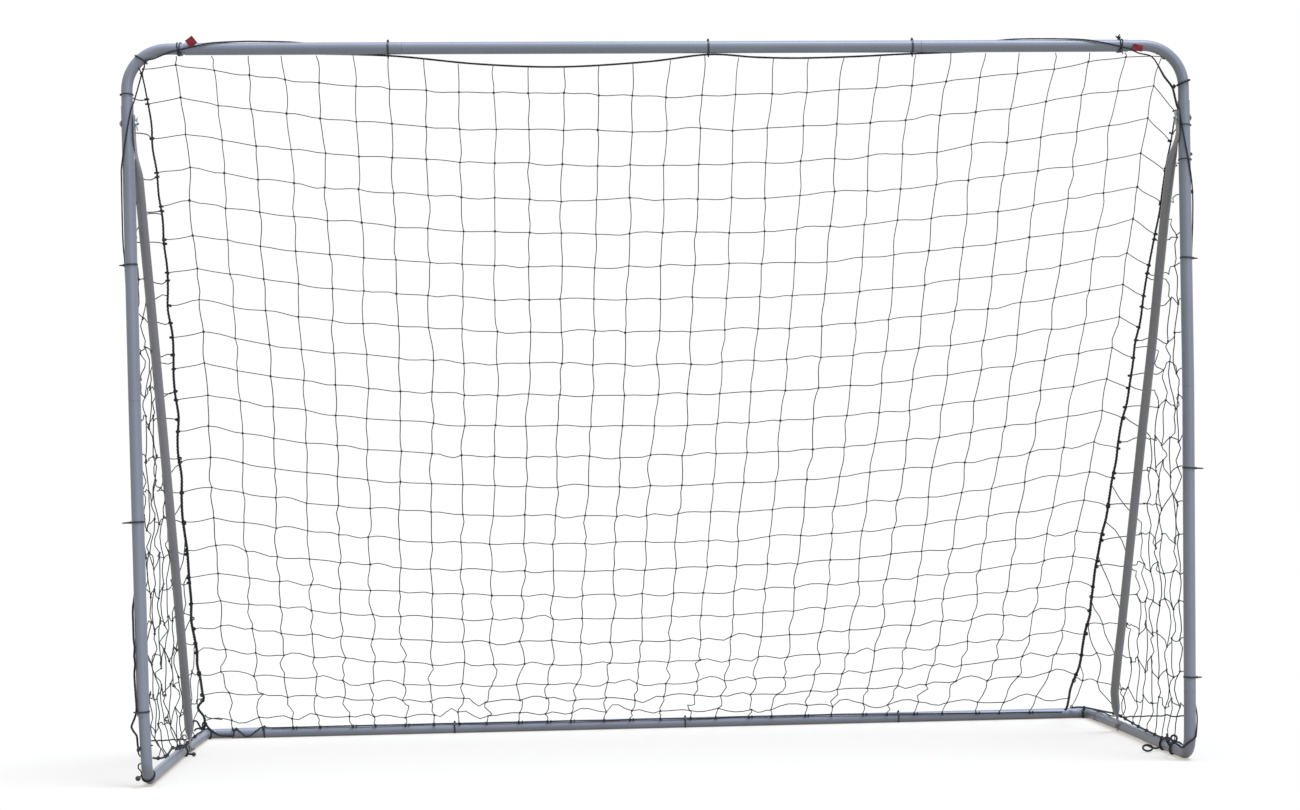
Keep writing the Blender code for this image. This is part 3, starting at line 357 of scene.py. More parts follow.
HANG_ROWS = hang_table()
DEPTH_BY_LENGTH = [(s, y) for s, y, _ in HANG_ROWS]
HEIGHT_BY_LENGTH = [(s, z) for s, _, z in HANG_ROWS]
DEPTH_BY_HEIGHT = [(z, y) for _, y, z in HANG_ROWS]


def hang_at(s):
    """Depth and height of the net at a length s down it."""
    return between(DEPTH_BY_LENGTH, s), between(HEIGHT_BY_LENGTH, s)


def depth_at(z):
    """Depth of the net at a height."""
    return between(DEPTH_BY_HEIGHT, z)


def settled(place):
    """A place moved as the light frame leans: fully beside the posts, less towards the goal's
    middle and its rear."""
    beside = clamped((abs(place.x) - LEAN_X) / LEAN_WIDTH)
    before = clamped((LEAN_Y - place.y) / LEAN_DEPTH)
    lean = between(LEFT_LEAN if place.x < 0 else RIGHT_LEAN, place.z)
    return Vector((place.x + lean * (beside * before), place.y, place.z))


def axes(place, ahead, side):
    """A matrix at a place with its Z ahead and its X to the side."""
    ahead = Vector(ahead).normalized()
    side = Vector(side)
    side = (side - ahead * side.dot(ahead)).normalized()
    turn = Matrix((side, ahead.cross(side), ahead)).transposed()
    return Matrix.Translation(place) @ turn.to_4x4()


def under_bar(x):
    """True where the top rope hangs under the crossbar; elsewhere it lies behind it."""
    return UNDER_BAR[0] < x < UNDER_BAR[1]


def sag_z(x):
    """Height of the top rope's centre under the crossbar."""
    rest = BAR_Z - SEAT_R - 0.0033
    for (x0, z0), (x1, z1) in zip(TOP_SAG, TOP_SAG[1:]):
        if x <= x1:
            f = max(0.0, (x - x0) / (x1 - x0))
            return rest + z0 + (z1 - z0) * f * f * (3 - 2 * f)
    return rest


def hang_up(place):
    """Top of a strand: on the top rope, or round the crossbar where the rope lies behind it."""
    if under_bar(place.x):
        return Vector((place.x, FRONT_Y, sag_z(place.x) - BORDER_R))
    return Vector((place.x, FRONT_Y + STRAND_BEHIND, BAR_Z - STRAND_UNDER))


def rear_rope_spot(x):
    """Centre of the rear rope, laid along the front of the rear bar, higher to the left."""
    reach = SEAT_R + BORDER_R + CORD_GAP
    turn = math.radians(between(REAR_TURN, x))
    return Vector((x, REAR_Y - reach * math.cos(turn), GROUND_Z + reach * math.sin(turn)))


def seam_spot(seam, z):
    """Centre of a seam rope at a height."""
    return Vector((between(seam, z), depth_at(z), z))


def seam_ahead(seam, z):
    """Run of a seam rope at a height."""
    return (seam_spot(seam, z - 0.01) - seam_spot(seam, z + 0.01)).normalized()


def side_rope_z(y):
    """Height of a side rope, which slopes down onto the side tube."""
    return between(((-0.563, 0.1257), (0.15, 0.048), (0.27, 0.0385), (0.33, 0.0371)), y)


def behind_strut(place, off):
    """How far a place lies behind a strut's middle line, less the given distance."""
    return place.y - FRONT_Y - (STRUT_FOOT_Y - FRONT_Y) * (1.0 - place.z / BOLT_Z) - off


def side_spot(side, y, z, shake):
    """A place on a side net, which hangs outside the strut and turns in to the seam rope."""
    rear = depth_at(z)
    strut = FRONT_Y + (STRUT_FOOT_Y - FRONT_Y) * (1.0 - z / BOLT_Z) + BEHIND_STRUT
    share = clamped((y - strut) / max(0.02, rear - strut))
    seam = between(LEFT_SEAM if side < 0 else RIGHT_SEAM, z)
    x = side * SIDE_NET_X + (seam - side * SIDE_NET_X) * share * (2.0 - share)
    return Vector((x + shake.gauss(0, 0.004) * math.sin(math.pi * share), y, z))


def past_strut(side, a, b):
    """The place where a strand of a side net turns round the back of the strut, if it does."""
    gap_a = behind_strut(a, ROUND_STRUT)
    gap_b = behind_strut(b, ROUND_STRUT)
    if gap_a * gap_b >= 0.0:
        return []
    turn = a.lerp(b, gap_a / (gap_a - gap_b))
    return [Vector((side * SIDE_NET_X, turn.y, turn.z))]


def low_spot(side, y, x):
    """Where a hanging strand of a side net reaches its lower cord. The right cord's last stretch
    runs towards the middle, so there x finds the place."""
    if side > 0 and y > 0.30:
        x = min(1.46, max(1.418, abs(x) + 0.008))
        y = between([(row[1], row[0]) for row in RIGHT_LOW[9:]], x)
        return Vector((x, y, 0.0400))
    table = LEFT_LOW if side < 0 else RIGHT_LOW
    return Vector((between([row[:2] for row in table], y),
                   y, between([(row[0], row[2]) for row in table], y)))


def mouth_spot(x, z, behind=0, radius=0.0022):
    """A cord's centre on the mouth frame at a place seen from the front."""
    reach = SEAT_R + radius + CORD_GAP
    side = 1 if x > 0 else -1
    bend_x = POST_X - CORNER_BEND_R
    bend_z = BAR_Z - CORNER_BEND_R
    if abs(x) <= bend_x:
        off = z - BAR_Z
    elif z <= bend_z:
        off = abs(x) - POST_X
    else:
        off = math.hypot(abs(x) - bend_x, z - bend_z) - CORNER_BEND_R
    if off > reach and z <= bend_z:
        x = side * (POST_X + reach)
    depth = math.sqrt(max(0.0, reach ** 2 - off ** 2))
    return Vector((x, FRONT_Y + (depth if behind else -depth), z))


def foot_spot(x, turn):
    """A cord's centre on the round of the right foot bend; the turn runs from post to ground."""
    reach = 0.0201
    wide = math.sqrt(max(0.0, reach ** 2 - (abs(x) - POST_X) ** 2))
    angle = math.radians(turn)
    size = FOOT_BEND_R + wide
    return Vector((x, FRONT_Y + FOOT_BEND_R - size * math.cos(angle),
                   GROUND_Z + FOOT_BEND_R - size * math.sin(angle)))


# Making pieces

def dress(obj, material, nodes):
    """Give a piece its finish, hang it on the frame and hide the solids it stands for."""
    if obj.type == "MESH":
        for vert in obj.data.vertices:
            vert.co = settled(vert.co)
    else:
        for spline in obj.data.splines:
            for spot in spline.points:
                spot.co = (*settled(spot.co.xyz), 1.0)
    obj.data.materials.clear()
    obj.data.materials.append(material)
    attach(obj, "root")
    if nodes:
        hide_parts(*nodes)
    return obj


def shown(name, data):
    """A new object in the scene."""
    obj = bpy.data.objects.new(name, data)
    bpy.context.scene.collection.objects.link(obj)
    return obj


def mesh_of(name, bm):
    """A mesh made from a bmesh, which is freed."""
    mesh = bpy.data.meshes.new(name)
    bm.to_mesh(mesh)
    bm.free()
    return mesh


def put(name, bm, material, nodes=(), flat=35.0):
    """Turn a bmesh into a shown piece, with sharp edges where it turns more than flat degrees."""
    bmesh.ops.recalc_face_normals(bm, faces=bm.faces)
    mesh = mesh_of(name, bm)
    mesh.shade_smooth()
    mesh.set_sharp_from_angle(angle=math.radians(flat))
    return dress(shown(name, mesh), material, nodes)


def strands(name, runs, radius, material, nodes=(), sides=1, swell=(), by_height=()):
    """Round strands through the given runs of points, as one curve piece; swell gives a strand's
    size along it as (share, size) pairs, and by_height as (height, size) pairs."""
    data = bpy.data.curves.new(name, "CURVE")
    data.dimensions = "3D"
    data.bevel_depth = radius
    data.bevel_resolution = sides
    data.use_fill_caps = True
    for run in runs:
        closed = (Vector(run[0]) - Vector(run[-1])).length < 1e-6
        points = run[:-1] if closed else run
        spline = data.splines.new("POLY")
        spline.points.add(len(points) - 1)
        for i, (spot, point) in enumerate(zip(spline.points, points)):
            spot.co = (*point, 1.0)
            if swell:
                spot.radius = between(swell, i / len(points))
            if by_height:
                spot.radius = between(by_height, point[2])
        spline.use_cyclic_u = closed
        spline.use_smooth = True
    return dress(shown(name, data), material, nodes)


def twist(run, radius, lay, swell):
    """Three strands laid round the line of a rope, as runs of points, seven to each turn."""
    points = smooth_run(run, lay / 7)
    made = [[], [], []]
    side = None
    turn = 0.0
    for i, point in enumerate(points):
        ahead = points[min(i + 1, len(points) - 1)] - points[max(i - 1, 0)]
        ahead.normalize()
        side = side or ahead.orthogonal()
        side = (side - ahead * side.dot(ahead)).normalized()
        other = ahead.cross(side)
        size = radius * (between(swell, i / len(points)) if swell else 1.0)
        if i:
            turn += 2 * math.pi * (point - points[i - 1]).length / lay
        for k in range(3):
            angle = turn + 2 * math.pi * k / 3
            made[k].append(point + (side * math.cos(angle) + other * math.sin(angle)) * size * 0.50)
    return made


def rope_piece(name, run, radius, lay, material, swell=()):
    """A rope of three laid strands along a run."""
    return strands(name, twist(run, radius, lay, swell), radius * 0.54, material,
                   (name,), swell=swell)


def uneven(run, shake, amount):
    """The same run with its middle points pushed about a little."""
    made = [Vector(p) for p in run]
    for point in made[1:-1]:
        point += Vector((shake.gauss(0, amount), shake.gauss(0, amount), shake.gauss(0, amount)))
    return made


def slack(a, b, shake, amount, steps=4):
    """Points from a to b on a strand that is not quite straight."""
    ahead = (b - a).normalized()
    side = ahead.orthogonal().normalized()
    other = ahead.cross(side)
    one = (shake.gauss(0, amount), shake.gauss(0, amount * 0.6))
    two = (shake.gauss(0, amount), shake.gauss(0, amount * 0.6))
    made = []
    for i in range(1, steps):
        f = i / steps
        bow = math.sin(math.pi * f)
        wave = math.sin(2 * math.pi * f)
        made.append(a.lerp(b, f) + side * (one[0] * bow + one[1] * wave)
                    + other * (two[0] * bow + two[1] * wave))
    return made


def loop_round(place, ahead, radius, turns=1.0, pitch=0.0, start=0.0, steps=14):
    """Points round a rope or tube at a place, with its run ahead."""
    frame_here = axes(place, ahead, Vector(ahead).orthogonal())
    count = max(3, round(steps * turns))
    made = []
    for i in range(count + 1):
        angle = start + 2 * math.pi * turns * i / count
        made.append(frame_here @ Vector((radius * math.cos(angle), radius * math.sin(angle),
                                         pitch * (i / count - 0.5))))
    if abs(pitch) < 1e-9 and turns == 1.0:
        made[-1] = made[0]
    return made


def band(place, ahead, radius):
    """One closed turn of cord round a tube."""
    return loop_round(place, ahead, radius, steps=28)


def eyelet(place, wide, deep, tall):
    """A small closed ring of cord seen from the front, by its half sizes."""
    turns = [2 * math.pi * (i % 24) / 24 for i in range(25)]
    return [Vector(place) + Vector((wide * math.cos(a), deep * math.sin(a), tall * math.sin(a)))
            for a in turns]


def edges_of(verts):
    """The edges at some verts, each once and in a steady order."""
    return list(dict.fromkeys(edge for vert in verts for edge in vert.link_edges))


def of_kind(geom, kind):
    """The verts or the edges among what a bmesh operator made."""
    return [part for part in geom if isinstance(part, kind)]


def loft(bm, rows, sides, close=False):
    """A skin through rings: each row is (matrix, half width, half thickness)."""
    full = [place @ Matrix.Diagonal((a, b, 1.0, 1.0)) for place, a, b in rows]
    made = bmesh.ops.create_circle(bm, segments=sides, radius=1.0, matrix=full[0])
    first = edges_of(made["verts"])
    edges = first
    if close:
        full.append(full[0])
    for here, there in zip(full, full[1:]):
        grown = bmesh.ops.extrude_edge_only(bm, edges=edges)["geom"]
        edges = of_kind(grown, bmesh.types.BMEdge)
        bmesh.ops.transform(bm, matrix=there @ here.inverted(),
                            verts=of_kind(grown, bmesh.types.BMVert))
    if close:
        bmesh.ops.remove_doubles(bm, verts=bm.verts, dist=1e-7)
    else:
        for loop in (first, edges):
            bmesh.ops.contextual_create(bm, geom=loop)


def tube_places(points, corner):
    """Places and directions along a run of straight tube with a round bend at each corner."""
    points = [Vector(p) for p in points]
    made = [(points[0], (points[1] - points[0]).normalized())]
    for before, here, after in zip(points, points[1:], points[2:]):
        a = (here - before).normalized()
        b = (after - here).normalized()
        angle = a.angle(b)
        axis = a.cross(b).normalized()
        start = here - a * corner * math.tan(angle / 2)
        centre = start + axis.cross(a) * corner
        for k in range(BEND_STEPS + 1):
            turn = Matrix.Rotation(angle * k / BEND_STEPS, 3, axis)
            made.append((centre + turn @ (start - centre), turn @ a))
    made.append((points[-1], (points[-1] - points[-2]).normalized()))
    return made


def tube(name, points, radius, material, wall, corner=0.0, side=(0, 1, 0)):
    """A steel tube with its wall and rounded rims, straight or bent."""
    places = tube_places(points, corner)
    rows = []
    for inner in (False, True):
        size = radius - wall if inner else radius
        edge = size + (RIM if inner else -RIM)
        line = places[::-1] if inner else places
        for i, (place, ahead) in enumerate(line):
            frame_here = axes(place, ahead, side)
            if i in (0, len(line) - 1):
                into = ahead * RIM * (1 if (i == 0) != inner else -1)
                end = (frame_here, edge, edge)
                near = (Matrix.Translation(into) @ frame_here, size, size)
                rows += [end, near] if i == 0 else [near, end]
            else:
                rows.append((frame_here, size, size))
    bm = bmesh.new()
    loft(bm, rows, TUBE_SIDES, close=True)
    return put(name, bm, material, (name,))


def lathe(bm, profile, place, sides):
    """A turned shape: (radius, height) pairs spun round the place's Z axis."""
    verts = [bm.verts.new(place @ Vector((r, 0, h))) for r, h in profile]
    edges = [bm.edges.new(pair) for pair in zip(verts, verts[1:])]
    axis = place.to_3x3() @ Vector((0, 0, 1))
    bmesh.ops.spin(bm, geom=verts + edges, cent=place.translation, axis=axis,
                   angle=2 * math.pi, steps=sides, use_merge=True)
    bmesh.ops.remove_doubles(bm, verts=bm.verts, dist=1e-6)


def ball(bm, place, radius, tall=1.0):
    """A small turned bead on a cord, with a flat and a hole rim at both ends."""
    profile = []
    for i in range(13):
        angle = math.radians(-78 + 156 * i / 12)
        profile.append((radius * math.cos(angle), radius * tall * math.sin(angle)))
    rim = radius * 0.10
    profile = ([(0.0, profile[0][1] + rim), (rim, profile[0][1] + rim)] + profile
               + [(rim, profile[-1][1] - rim), (0.0, profile[-1][1] - rim)])
    lathe(bm, profile, place, sides=24)


def knot_shape():
    """One net knot: two small turns of twine crossing each other."""
    bm = bmesh.new()
    for tilt in (35, -50):
        place = Matrix.Rotation(math.radians(tilt), 4, "Y")
        ring = bmesh.ops.create_circle(bm, segments=4, radius=0.55,
                                       matrix=place @ Matrix.Translation((0.62, 0, 0))
                                       @ Matrix.Rotation(math.pi / 2, 4, "X"))
        bmesh.ops.spin(bm, geom=ring["verts"] + edges_of(ring["verts"]), cent=(0, 0, 0),
                       axis=place.to_3x3() @ Vector((0, 0, 1)), angle=2 * math.pi, steps=6,
                       use_merge=True)
    bmesh.ops.recalc_face_normals(bm, faces=bm.faces)
    return mesh_of("knot", bm)


def knots(name, places, radius, material, shake):
    """Knots at the given places, each turned its own way."""
    shape = knot_shape()
    bm = bmesh.new()
    for place in places:
        before = len(bm.verts)
        bm.from_mesh(shape)
        bm.verts.ensure_lookup_table()
        turn = Matrix.Rotation(shake.uniform(0, 6.28), 4, "Y") @ Matrix.Rotation(
            shake.uniform(-0.7, 0.7), 4, "X")
        size = radius * shake.uniform(0.85, 1.15)
        bmesh.ops.transform(bm, matrix=Matrix.Translation(place) @ turn @ Matrix.Scale(size, 4),
                            verts=bm.verts[before:])
    bpy.data.meshes.remove(shape)
    return put(name, bm, material, flat=80.0)


# Finishes

def set_inputs(tree, node, inputs):
    """Set a node's inputs; an input that is given a socket is linked to it."""
    for key, value in inputs.items():
        if isinstance(value, bpy.types.NodeSocket):
            tree.links.new(value, node.inputs[key])
        else:
            node.inputs[key].default_value = value


def add_node(tree, kind, inputs=None, **settings):
    """One shader node with its settings and its inputs."""
    made = tree.nodes.new(kind)
    for key, value in settings.items():
        setattr(made, key, value)
    set_inputs(tree, made, inputs or {})
    return made


def ramp(tree, fac, stops):
    """A colour ramp read by a value."""
    made = add_node(tree, "ShaderNodeValToRGB", {"Fac": fac})
    line = made.color_ramp
    while len(line.elements) < len(stops):
        line.elements.new(0.5)
    for element, (at, colour) in zip(line.elements, stops):
        element.position = at
        element.color = (*colour[:3], 1.0)
    return made.outputs["Color"]


def shade(colour, amount):
    """A colour made lighter or darker."""
    return tuple(min(1.0, c * amount) for c in colour)


def empty_tree(made):
    """The empty node tree of a material or a world."""
    made.use_nodes = True
    made.node_tree.nodes.clear()
    return made.node_tree


def new_finish(name):
    """An empty material with its shader and Object coordinates."""
    made = bpy.data.materials.new(name)
    tree = empty_tree(made)
    out = add_node(tree, "ShaderNodeOutputMaterial")
    shader = add_node(tree, "ShaderNodeBsdfPrincipled")
    tree.links.new(shader.outputs["BSDF"], out.inputs["Surface"])
    spot = add_node(tree, "ShaderNodeTexCoord").outputs["Object"]
    return made, tree, shader, spot


def noise(tree, spot, scale, detail):
    """A noise value over the surface."""
    return add_node(tree, "ShaderNodeTexNoise",
                    {"Vector": spot, "Scale": scale, "Detail": detail}).outputs["Fac"]


def stretched(tree, value, low, high):
    """A value from 0 to 1 stretched from low to high."""
    return add_node(tree, "ShaderNodeMapRange",
                    {"Value": value, "To Min": low, "To Max": high}).outputs["Result"]


def joined(tree, one, other, way):
    """Two values joined by a sum, a product or the larger of the two."""
    return add_node(tree, "ShaderNodeMath", {0: one, 1: other}, operation=way).outputs[0]


def bump(tree, height, strength, distance):
    """A bump from a height value."""
    return add_node(tree, "ShaderNodeBump", {"Height": height, "Strength": strength,
                                             "Distance": distance}).outputs["Normal"]


def powder_coat(name, colour):
    # Baked powder on steel tube: a faint orange peel with soft gloss, a little uneven in tone.
    made, tree, shader, spot = new_finish(name)
    tone = noise(tree, spot, scale=3.2, detail=3.0)
    peel = noise(tree, spot, scale=900.0, detail=1.0)
    base = ramp(tree, tone, ((0.30, shade(colour, 0.90)), (0.70, shade(colour, 1.06))))
    set_inputs(tree, shader, {"Base Color": base, "Roughness": 0.42,
                              "Normal": bump(tree, peel, strength=0.12, distance=0.0002)})
    return made


def zinc_plate(colours):
    # Bright zinc on small fasteners, slightly clouded.
    made, tree, shader, spot = new_finish("zinc_plated_steel")
    cloud = noise(tree, spot, scale=260.0, detail=3.0)
    base = ramp(tree, cloud, ((0.3, shade(colours.zinc, 0.78)), (0.7, colours.zinc)))
    set_inputs(tree, shader, {"Base Color": base, "Metallic": 0.85,
                              "Roughness": stretched(tree, cloud, low=0.28, high=0.46)})
    return made


def twine_fibre(name, colour, scale, rough):
    # Laid fibres in fine bands that fray a little with a bump. The base colour runs darker and lighter
    # along the same bands, as painted highlights where the fibres would catch the light, which keeps
    # the black from looking like plastic.
    made, tree, shader, spot = new_finish(name)
    fibre_and_sheen = add_node(tree, "ShaderNodeTexWave", {"Vector": spot, "Scale": scale, "Distortion": 2.5,
                                                 "Detail": 2.0, "Detail Scale": 3.0},
                     wave_type="BANDS", bands_direction="DIAGONAL").outputs["Fac"]
    # Painted highlight: the lighter bands of the base colour stand in for light caught by the laid
    # fibres
    base = ramp(tree, fibre_and_sheen, ((0.1, shade(colour, 0.62)), (0.9, shade(colour, 1.55))))
    set_inputs(tree, shader, {"Base Color": base, "Roughness": rough,
                              "Normal": bump(tree, fibre_and_sheen, strength=0.5, distance=0.0004)})
    return made


def tie_nylon(colours):
    # Moulded nylon: smooth and half shiny, with a weathered bloom in patches.
    made, tree, shader, spot = new_finish("moulded_nylon")
    bloom = noise(tree, spot, scale=120.0, detail=4.0)
    base = ramp(tree, bloom, ((0.35, colours.plastic), (0.8, shade(colours.plastic, 2.2))))
    set_inputs(tree, shader, {"Base Color": base,
                              "Roughness": stretched(tree, bloom, low=0.32, high=0.58)})
    return made


def tag_cloth(colours):
    # Woven ribbon: crossing threads 0.4 mm apart and slightly faded colour.
    made, tree, shader, spot = new_finish("woven_ribbon")
    across, down = (add_node(tree, "ShaderNodeTexWave",
                             {"Vector": spot, "Scale": 800.0, "Distortion": 0.6},
                             wave_type="BANDS", bands_direction=way).outputs["Fac"] for way in "XZ")
    weave = joined(tree, across, down, "MULTIPLY")
    mixed = joined(tree, weave, noise(tree, spot, scale=60.0, detail=3.0), "ADD")
    base = ramp(tree, mixed, ((0.3, shade(colours.tag, 0.72)), (1.0, shade(colours.tag, 1.15))))
    set_inputs(tree, shader, {"Base Color": base, "Roughness": 0.85,
                              "Normal": bump(tree, weave, strength=0.5, distance=0.0002)})
    return made


def finish_named(name, colours):
    """A finish by its short name, made once."""
    makers = {"powder_coated_steel": lambda c: powder_coat("powder_coated_steel", c.powder),
              "plain_grey_coated_steel": lambda c: powder_coat("plain_grey_coated_steel", c.strut),
              "zinc_plated_steel": zinc_plate, "moulded_nylon": tie_nylon,
              "woven_ribbon": tag_cloth,
              "net_twine": lambda c: twine_fibre("net_twine", c.twine, scale=420.0, rough=0.86),
              "laid_rope": lambda c: twine_fibre("laid_rope", c.cord, scale=300.0, rough=0.78)}
    return bpy.data.materials.get(name) or makers[name](colours)


# Tubes and struts

def build_tubes(sizes, colours):
    """The crossbar, corner bends, posts and ground tubes."""
    steel = finish_named("powder_coated_steel", colours)
    wall = sizes.tube_wall
    y = FRONT_Y
    low = GROUND_Z
    for side, word in ((-1, "left"), (1, "right")):
        x = side * POST_X
        tube("crossbar_" + word, ((side * (BAR_JOINT_X + JOINT_GAP), y, BAR_Z),
                                  (side * TOP_JOINT_X, y, BAR_Z)), TUBE_R, steel, wall)
        tube("corner_bend_" + word, ((side * 1.266, y, BAR_Z), (x, y, BAR_Z), (x, y, 1.808)),
             THIN_R, steel, wall, CORNER_BEND_R)
        tube("post_upper_" + word, ((x, y, 1.886), (x, y, POST_JOINT_Z + JOINT_GAP)), TUBE_R,
             steel, wall)
        tube("post_lower_" + word, ((x, y, POST_JOINT_Z), (x, y, FOOT_JOINT_Z + JOINT_GAP)),
             TUBE_R, steel, wall)
    tube("crossbar_middle", ((-BAR_JOINT_X, y, BAR_Z), (BAR_JOINT_X, y, BAR_Z)), TUBE_R, steel,
         wall)
    # Ground tubes: places, radius, radius of the bend, and where the rings' first points face
    right = (1, 0, 0)
    up = (0, 0, 1)
    for name, places, radius, corner, facing in (
            ("foot_bend_left", ((-POST_X, y, 0.257), (-POST_X, y, low), (-POST_X, 0.190, low)),
             THIN_R, FOOT_BEND_R, right),
            ("side_tube_left", ((-POST_X, 0.130, low), (-POST_X, 0.540, low)), TUBE_R, 0, right),
            ("rear_bend_left", ((-POST_X, 0.480, low), (-POST_X, REAR_Y, low),
                                (-1.337, REAR_Y, low)), THIN_R, 0.040, up),
            ("foot_bend_right", ((POST_X, y, FOOT_JOINT_Z), (POST_X, y, low),
                                 (POST_X, -0.120, low)), TUBE_R, FOOT_BEND_R, right),
            ("side_tube_right", ((POST_X, -0.180, low), (POST_X, 0.510, low)), THIN_R, 0, right),
            ("rear_bend_right", ((POST_X, 0.450, low), (POST_X, REAR_Y, low),
                                 (1.397, REAR_Y, low)), TUBE_R, 0.048, up),
            ("rear_bar_left", ((-1.397, REAR_Y, low), (-BAR_JOINT_X - JOINT_GAP, REAR_Y, low)),
             TUBE_R, 0, up),
            ("rear_bar_middle", ((-BAR_JOINT_X, REAR_Y, low), (BAR_JOINT_X, REAR_Y, low)),
             TUBE_R, 0, up),
            ("rear_bar_right", ((BAR_JOINT_X + JOINT_GAP, REAR_Y, low), (1.3967, REAR_Y, low)),
             TUBE_R, 0, up)):
        tube(name, places, radius, steel, wall, corner, facing)


def build_struts(colours):
    """The two sloping struts, tubes pressed flat at both ends; the right one bows a little, and its
    upper end grows round sooner."""
    steel = finish_named("plain_grey_coated_steel", colours)
    down = (0, 0, -1)
    for side, word, bent, early in ((-1, "left", 0.034, 0.0), (1, "right", 0.010, 0.030)):
        x = side * STRUT_X
        knee = Vector((x, FRONT_Y, KNEE_Z))
        foot = Vector((x, STRUT_FOOT_Y, GROUND_Z))
        slope = (foot - knee).normalized()
        half = (slope + Vector(down)).normalized()
        length = (foot - knee).length + PAST_BOLT
        shift = Vector((side * STRUT_FOOT_X[side] - x, 0, 0))
        rows = [((x, FRONT_Y, z), down, wide, thick) for z, wide, thick in STRUT_HEAD]
        rows += [(knee + half * 0.002, half, *FLAT), (knee + slope * bent, slope, 0.0175, 0.0016)]
        rings = [(at - early, wide, thick) for at, wide, thick in STRUT_SWELL]
        rings += [(length * share, *ROUND) for share, _ in STRUT_BOW if 0.10 < share < 0.95]
        rings += [(length - at, wide, thick) for at, wide, thick in STRUT_END]
        for at, wide, thick in rings:
            late = clamped((at - length + SHIFT_BEFORE) / SHIFT_LENGTH)
            bow = Vector((-between(STRUT_BOW, at / length) if side > 0 else 0.0, 0, 0))
            rows.append((knee + slope * at + shift * late + bow, slope, wide, thick))
        bm = bmesh.new()
        loft(bm, [(axes(p, d, Vector((1, 0, 0)).cross(Vector(d))), a, b)
                  for p, d, a, b in rows], sides=32)
        put("strut_" + word, bm, steel, ("strut_" + word,))


# Nets

def back_knot(column, row, sizes, shake):
    """Place of a knot of the back net; column 0 and the last lie on the seam ropes."""
    last = sizes.columns + 1
    inner = min(max(column, 1), last - 1)
    across = 2 * (inner - 1) / (sizes.columns - 1) - 1
    middle = between(ROW_MIDDLE, row)
    curve = LEFT_CURVE if across < 0 else RIGHT_CURVE
    s = middle - (middle - between(ROW_SIDE, row)) * abs(across) ** curve
    if across > 0:
        s -= between(RIGHT_LIFT, row) * across ** LIFT_CURVE
    if column == 0:
        s += LEFT_DROP
    elif column == last:
        s += between(RIGHT_DROP, row)
    elif 0 < row:
        s += shake.gauss(0, KNOT_STRAY)
    y, z = hang_at(max(0.0, s))
    if column == last and row == 1:
        return Vector(CORNER_KNOT)
    if column in (0, last):
        return Vector((between(LEFT_SEAM if column == 0 else RIGHT_SEAM, z), y, z))
    first = between(FIRST_STRAND, z)
    wide = between(LAST_STRAND, z) - first
    share = (column - 1) / (sizes.columns - 1)
    x = first + wide * (share - CROWDING * share * (1 - share)) + shake.gauss(0, KNOT_STRAY)
    stray = between(LOOSENESS, row) - LOOSENESS[0][1]
    return Vector((x + shake.gauss(0, stray), y + shake.gauss(0, DEPTH_STRAY),
                   z + shake.gauss(0, 0.7 * stray)))


def build_back_net(sizes, colours):
    """The sloping back net: hanging strands, cross rows and a knot at every crossing."""
    twine = finish_named("net_twine", colours)
    shake = random.Random(BACK_SEED)
    last = sizes.columns + 1
    bottom = sizes.rows + 1
    grid = {}
    for row in range(bottom + 1):
        for column in range(last + 1):
            grid[column, row] = back_knot(column, row, sizes, shake)
    for column in range(1, last):
        top = hang_up(grid[column, 0])
        low = grid[column, 1]
        low.z = min(low.z, top.z - FIRST_ROW_GAP)
        grid[column, 0] = top
    runs = []
    for column in range(1, last):
        run = [grid[column, 0]]
        for row in range(1, bottom + 1):
            run += slack(run[-1], grid[column, row], shake, between(LOOSENESS, row))
            run.append(grid[column, row])
        foot = rear_rope_spot(run[-1].x + shake.uniform(-0.008, 0.008))
        run += slack(run[-1], foot, shake, amount=0.003, steps=3)
        run += loop_round(foot, (1, 0, 0), radius=0.0044, turns=1.5, pitch=0.005, start=1.6)
        runs.append(run)
        if column % 2 == shake.choice((0, 1, 1)):
            runs.append(loop_round(foot + Vector((0.011, 0, 0)), (1, 0.1, 0), radius=0.0043))
    for row in range(1, bottom + 1):
        run = [grid[0, row]]
        for column in range(1, last + 1):
            run += slack(run[-1], grid[column, row], shake, between(LOOSENESS, row))
            run.append(grid[column, row])
        runs.append(run)
    for side, seam in ((0, LEFT_SEAM), (last, RIGHT_SEAM)):
        for row in range(2, bottom):
            spot = grid[side, row]
            runs.append(loop_round(spot, seam_ahead(seam, spot.z), SEAM_TURN_R, turns=2.0,
                                   pitch=0.005, start=shake.uniform(0, 6)))
    strands("net_back", runs, sizes.twine_radius, twine,
            ("net_back_upper", "net_back_lower"), by_height=TWINE_SWELL)
    spots = [grid[c, r] for r in range(1, bottom + 1) for c in range(0, last + 1)]
    knots("net_back_knots", spots, sizes.knot_radius, twine, shake)


def side_grid(side, shake):
    """Places of a side net's knots by row and column, pulled about as a slack net is, and the
    number of rows."""
    grid = {}
    z = SIDE_TOP[side]
    j = 0
    while z > LOWEST_ROW_Z:
        reach = depth_at(z) - 0.006 - SIDE_FRONT_Y
        grid[j, 0] = Vector((side * 1.4810, -0.5640, z + shake.gauss(0, 0.003)))
        count = int((reach - 0.020) / SIDE_COLUMN)
        for k in range(1, count + 1):
            share = k / (count + 1)
            loose = math.sin(math.pi * min(1.0, share * 1.1)) * min(1.0, reach / 0.35)
            zig = SIDE_ZIGZAG * (1 if (j + k) % 2 else -1) * loose
            ahead = reach * share * (0.96 + 0.04 * share)
            y = SIDE_FRONT_Y + ahead + shake.gauss(0, 0.014) * loose
            height = z - SIDE_SAG * loose + zig + shake.gauss(0, 0.010) * loose
            if height < side_rope_z(y) + OVER_SIDE_ROPE:
                continue
            grid[j, k] = side_spot(side, y, height, shake)
        z -= SIDE_PITCH
        j += 1
    return grid, j


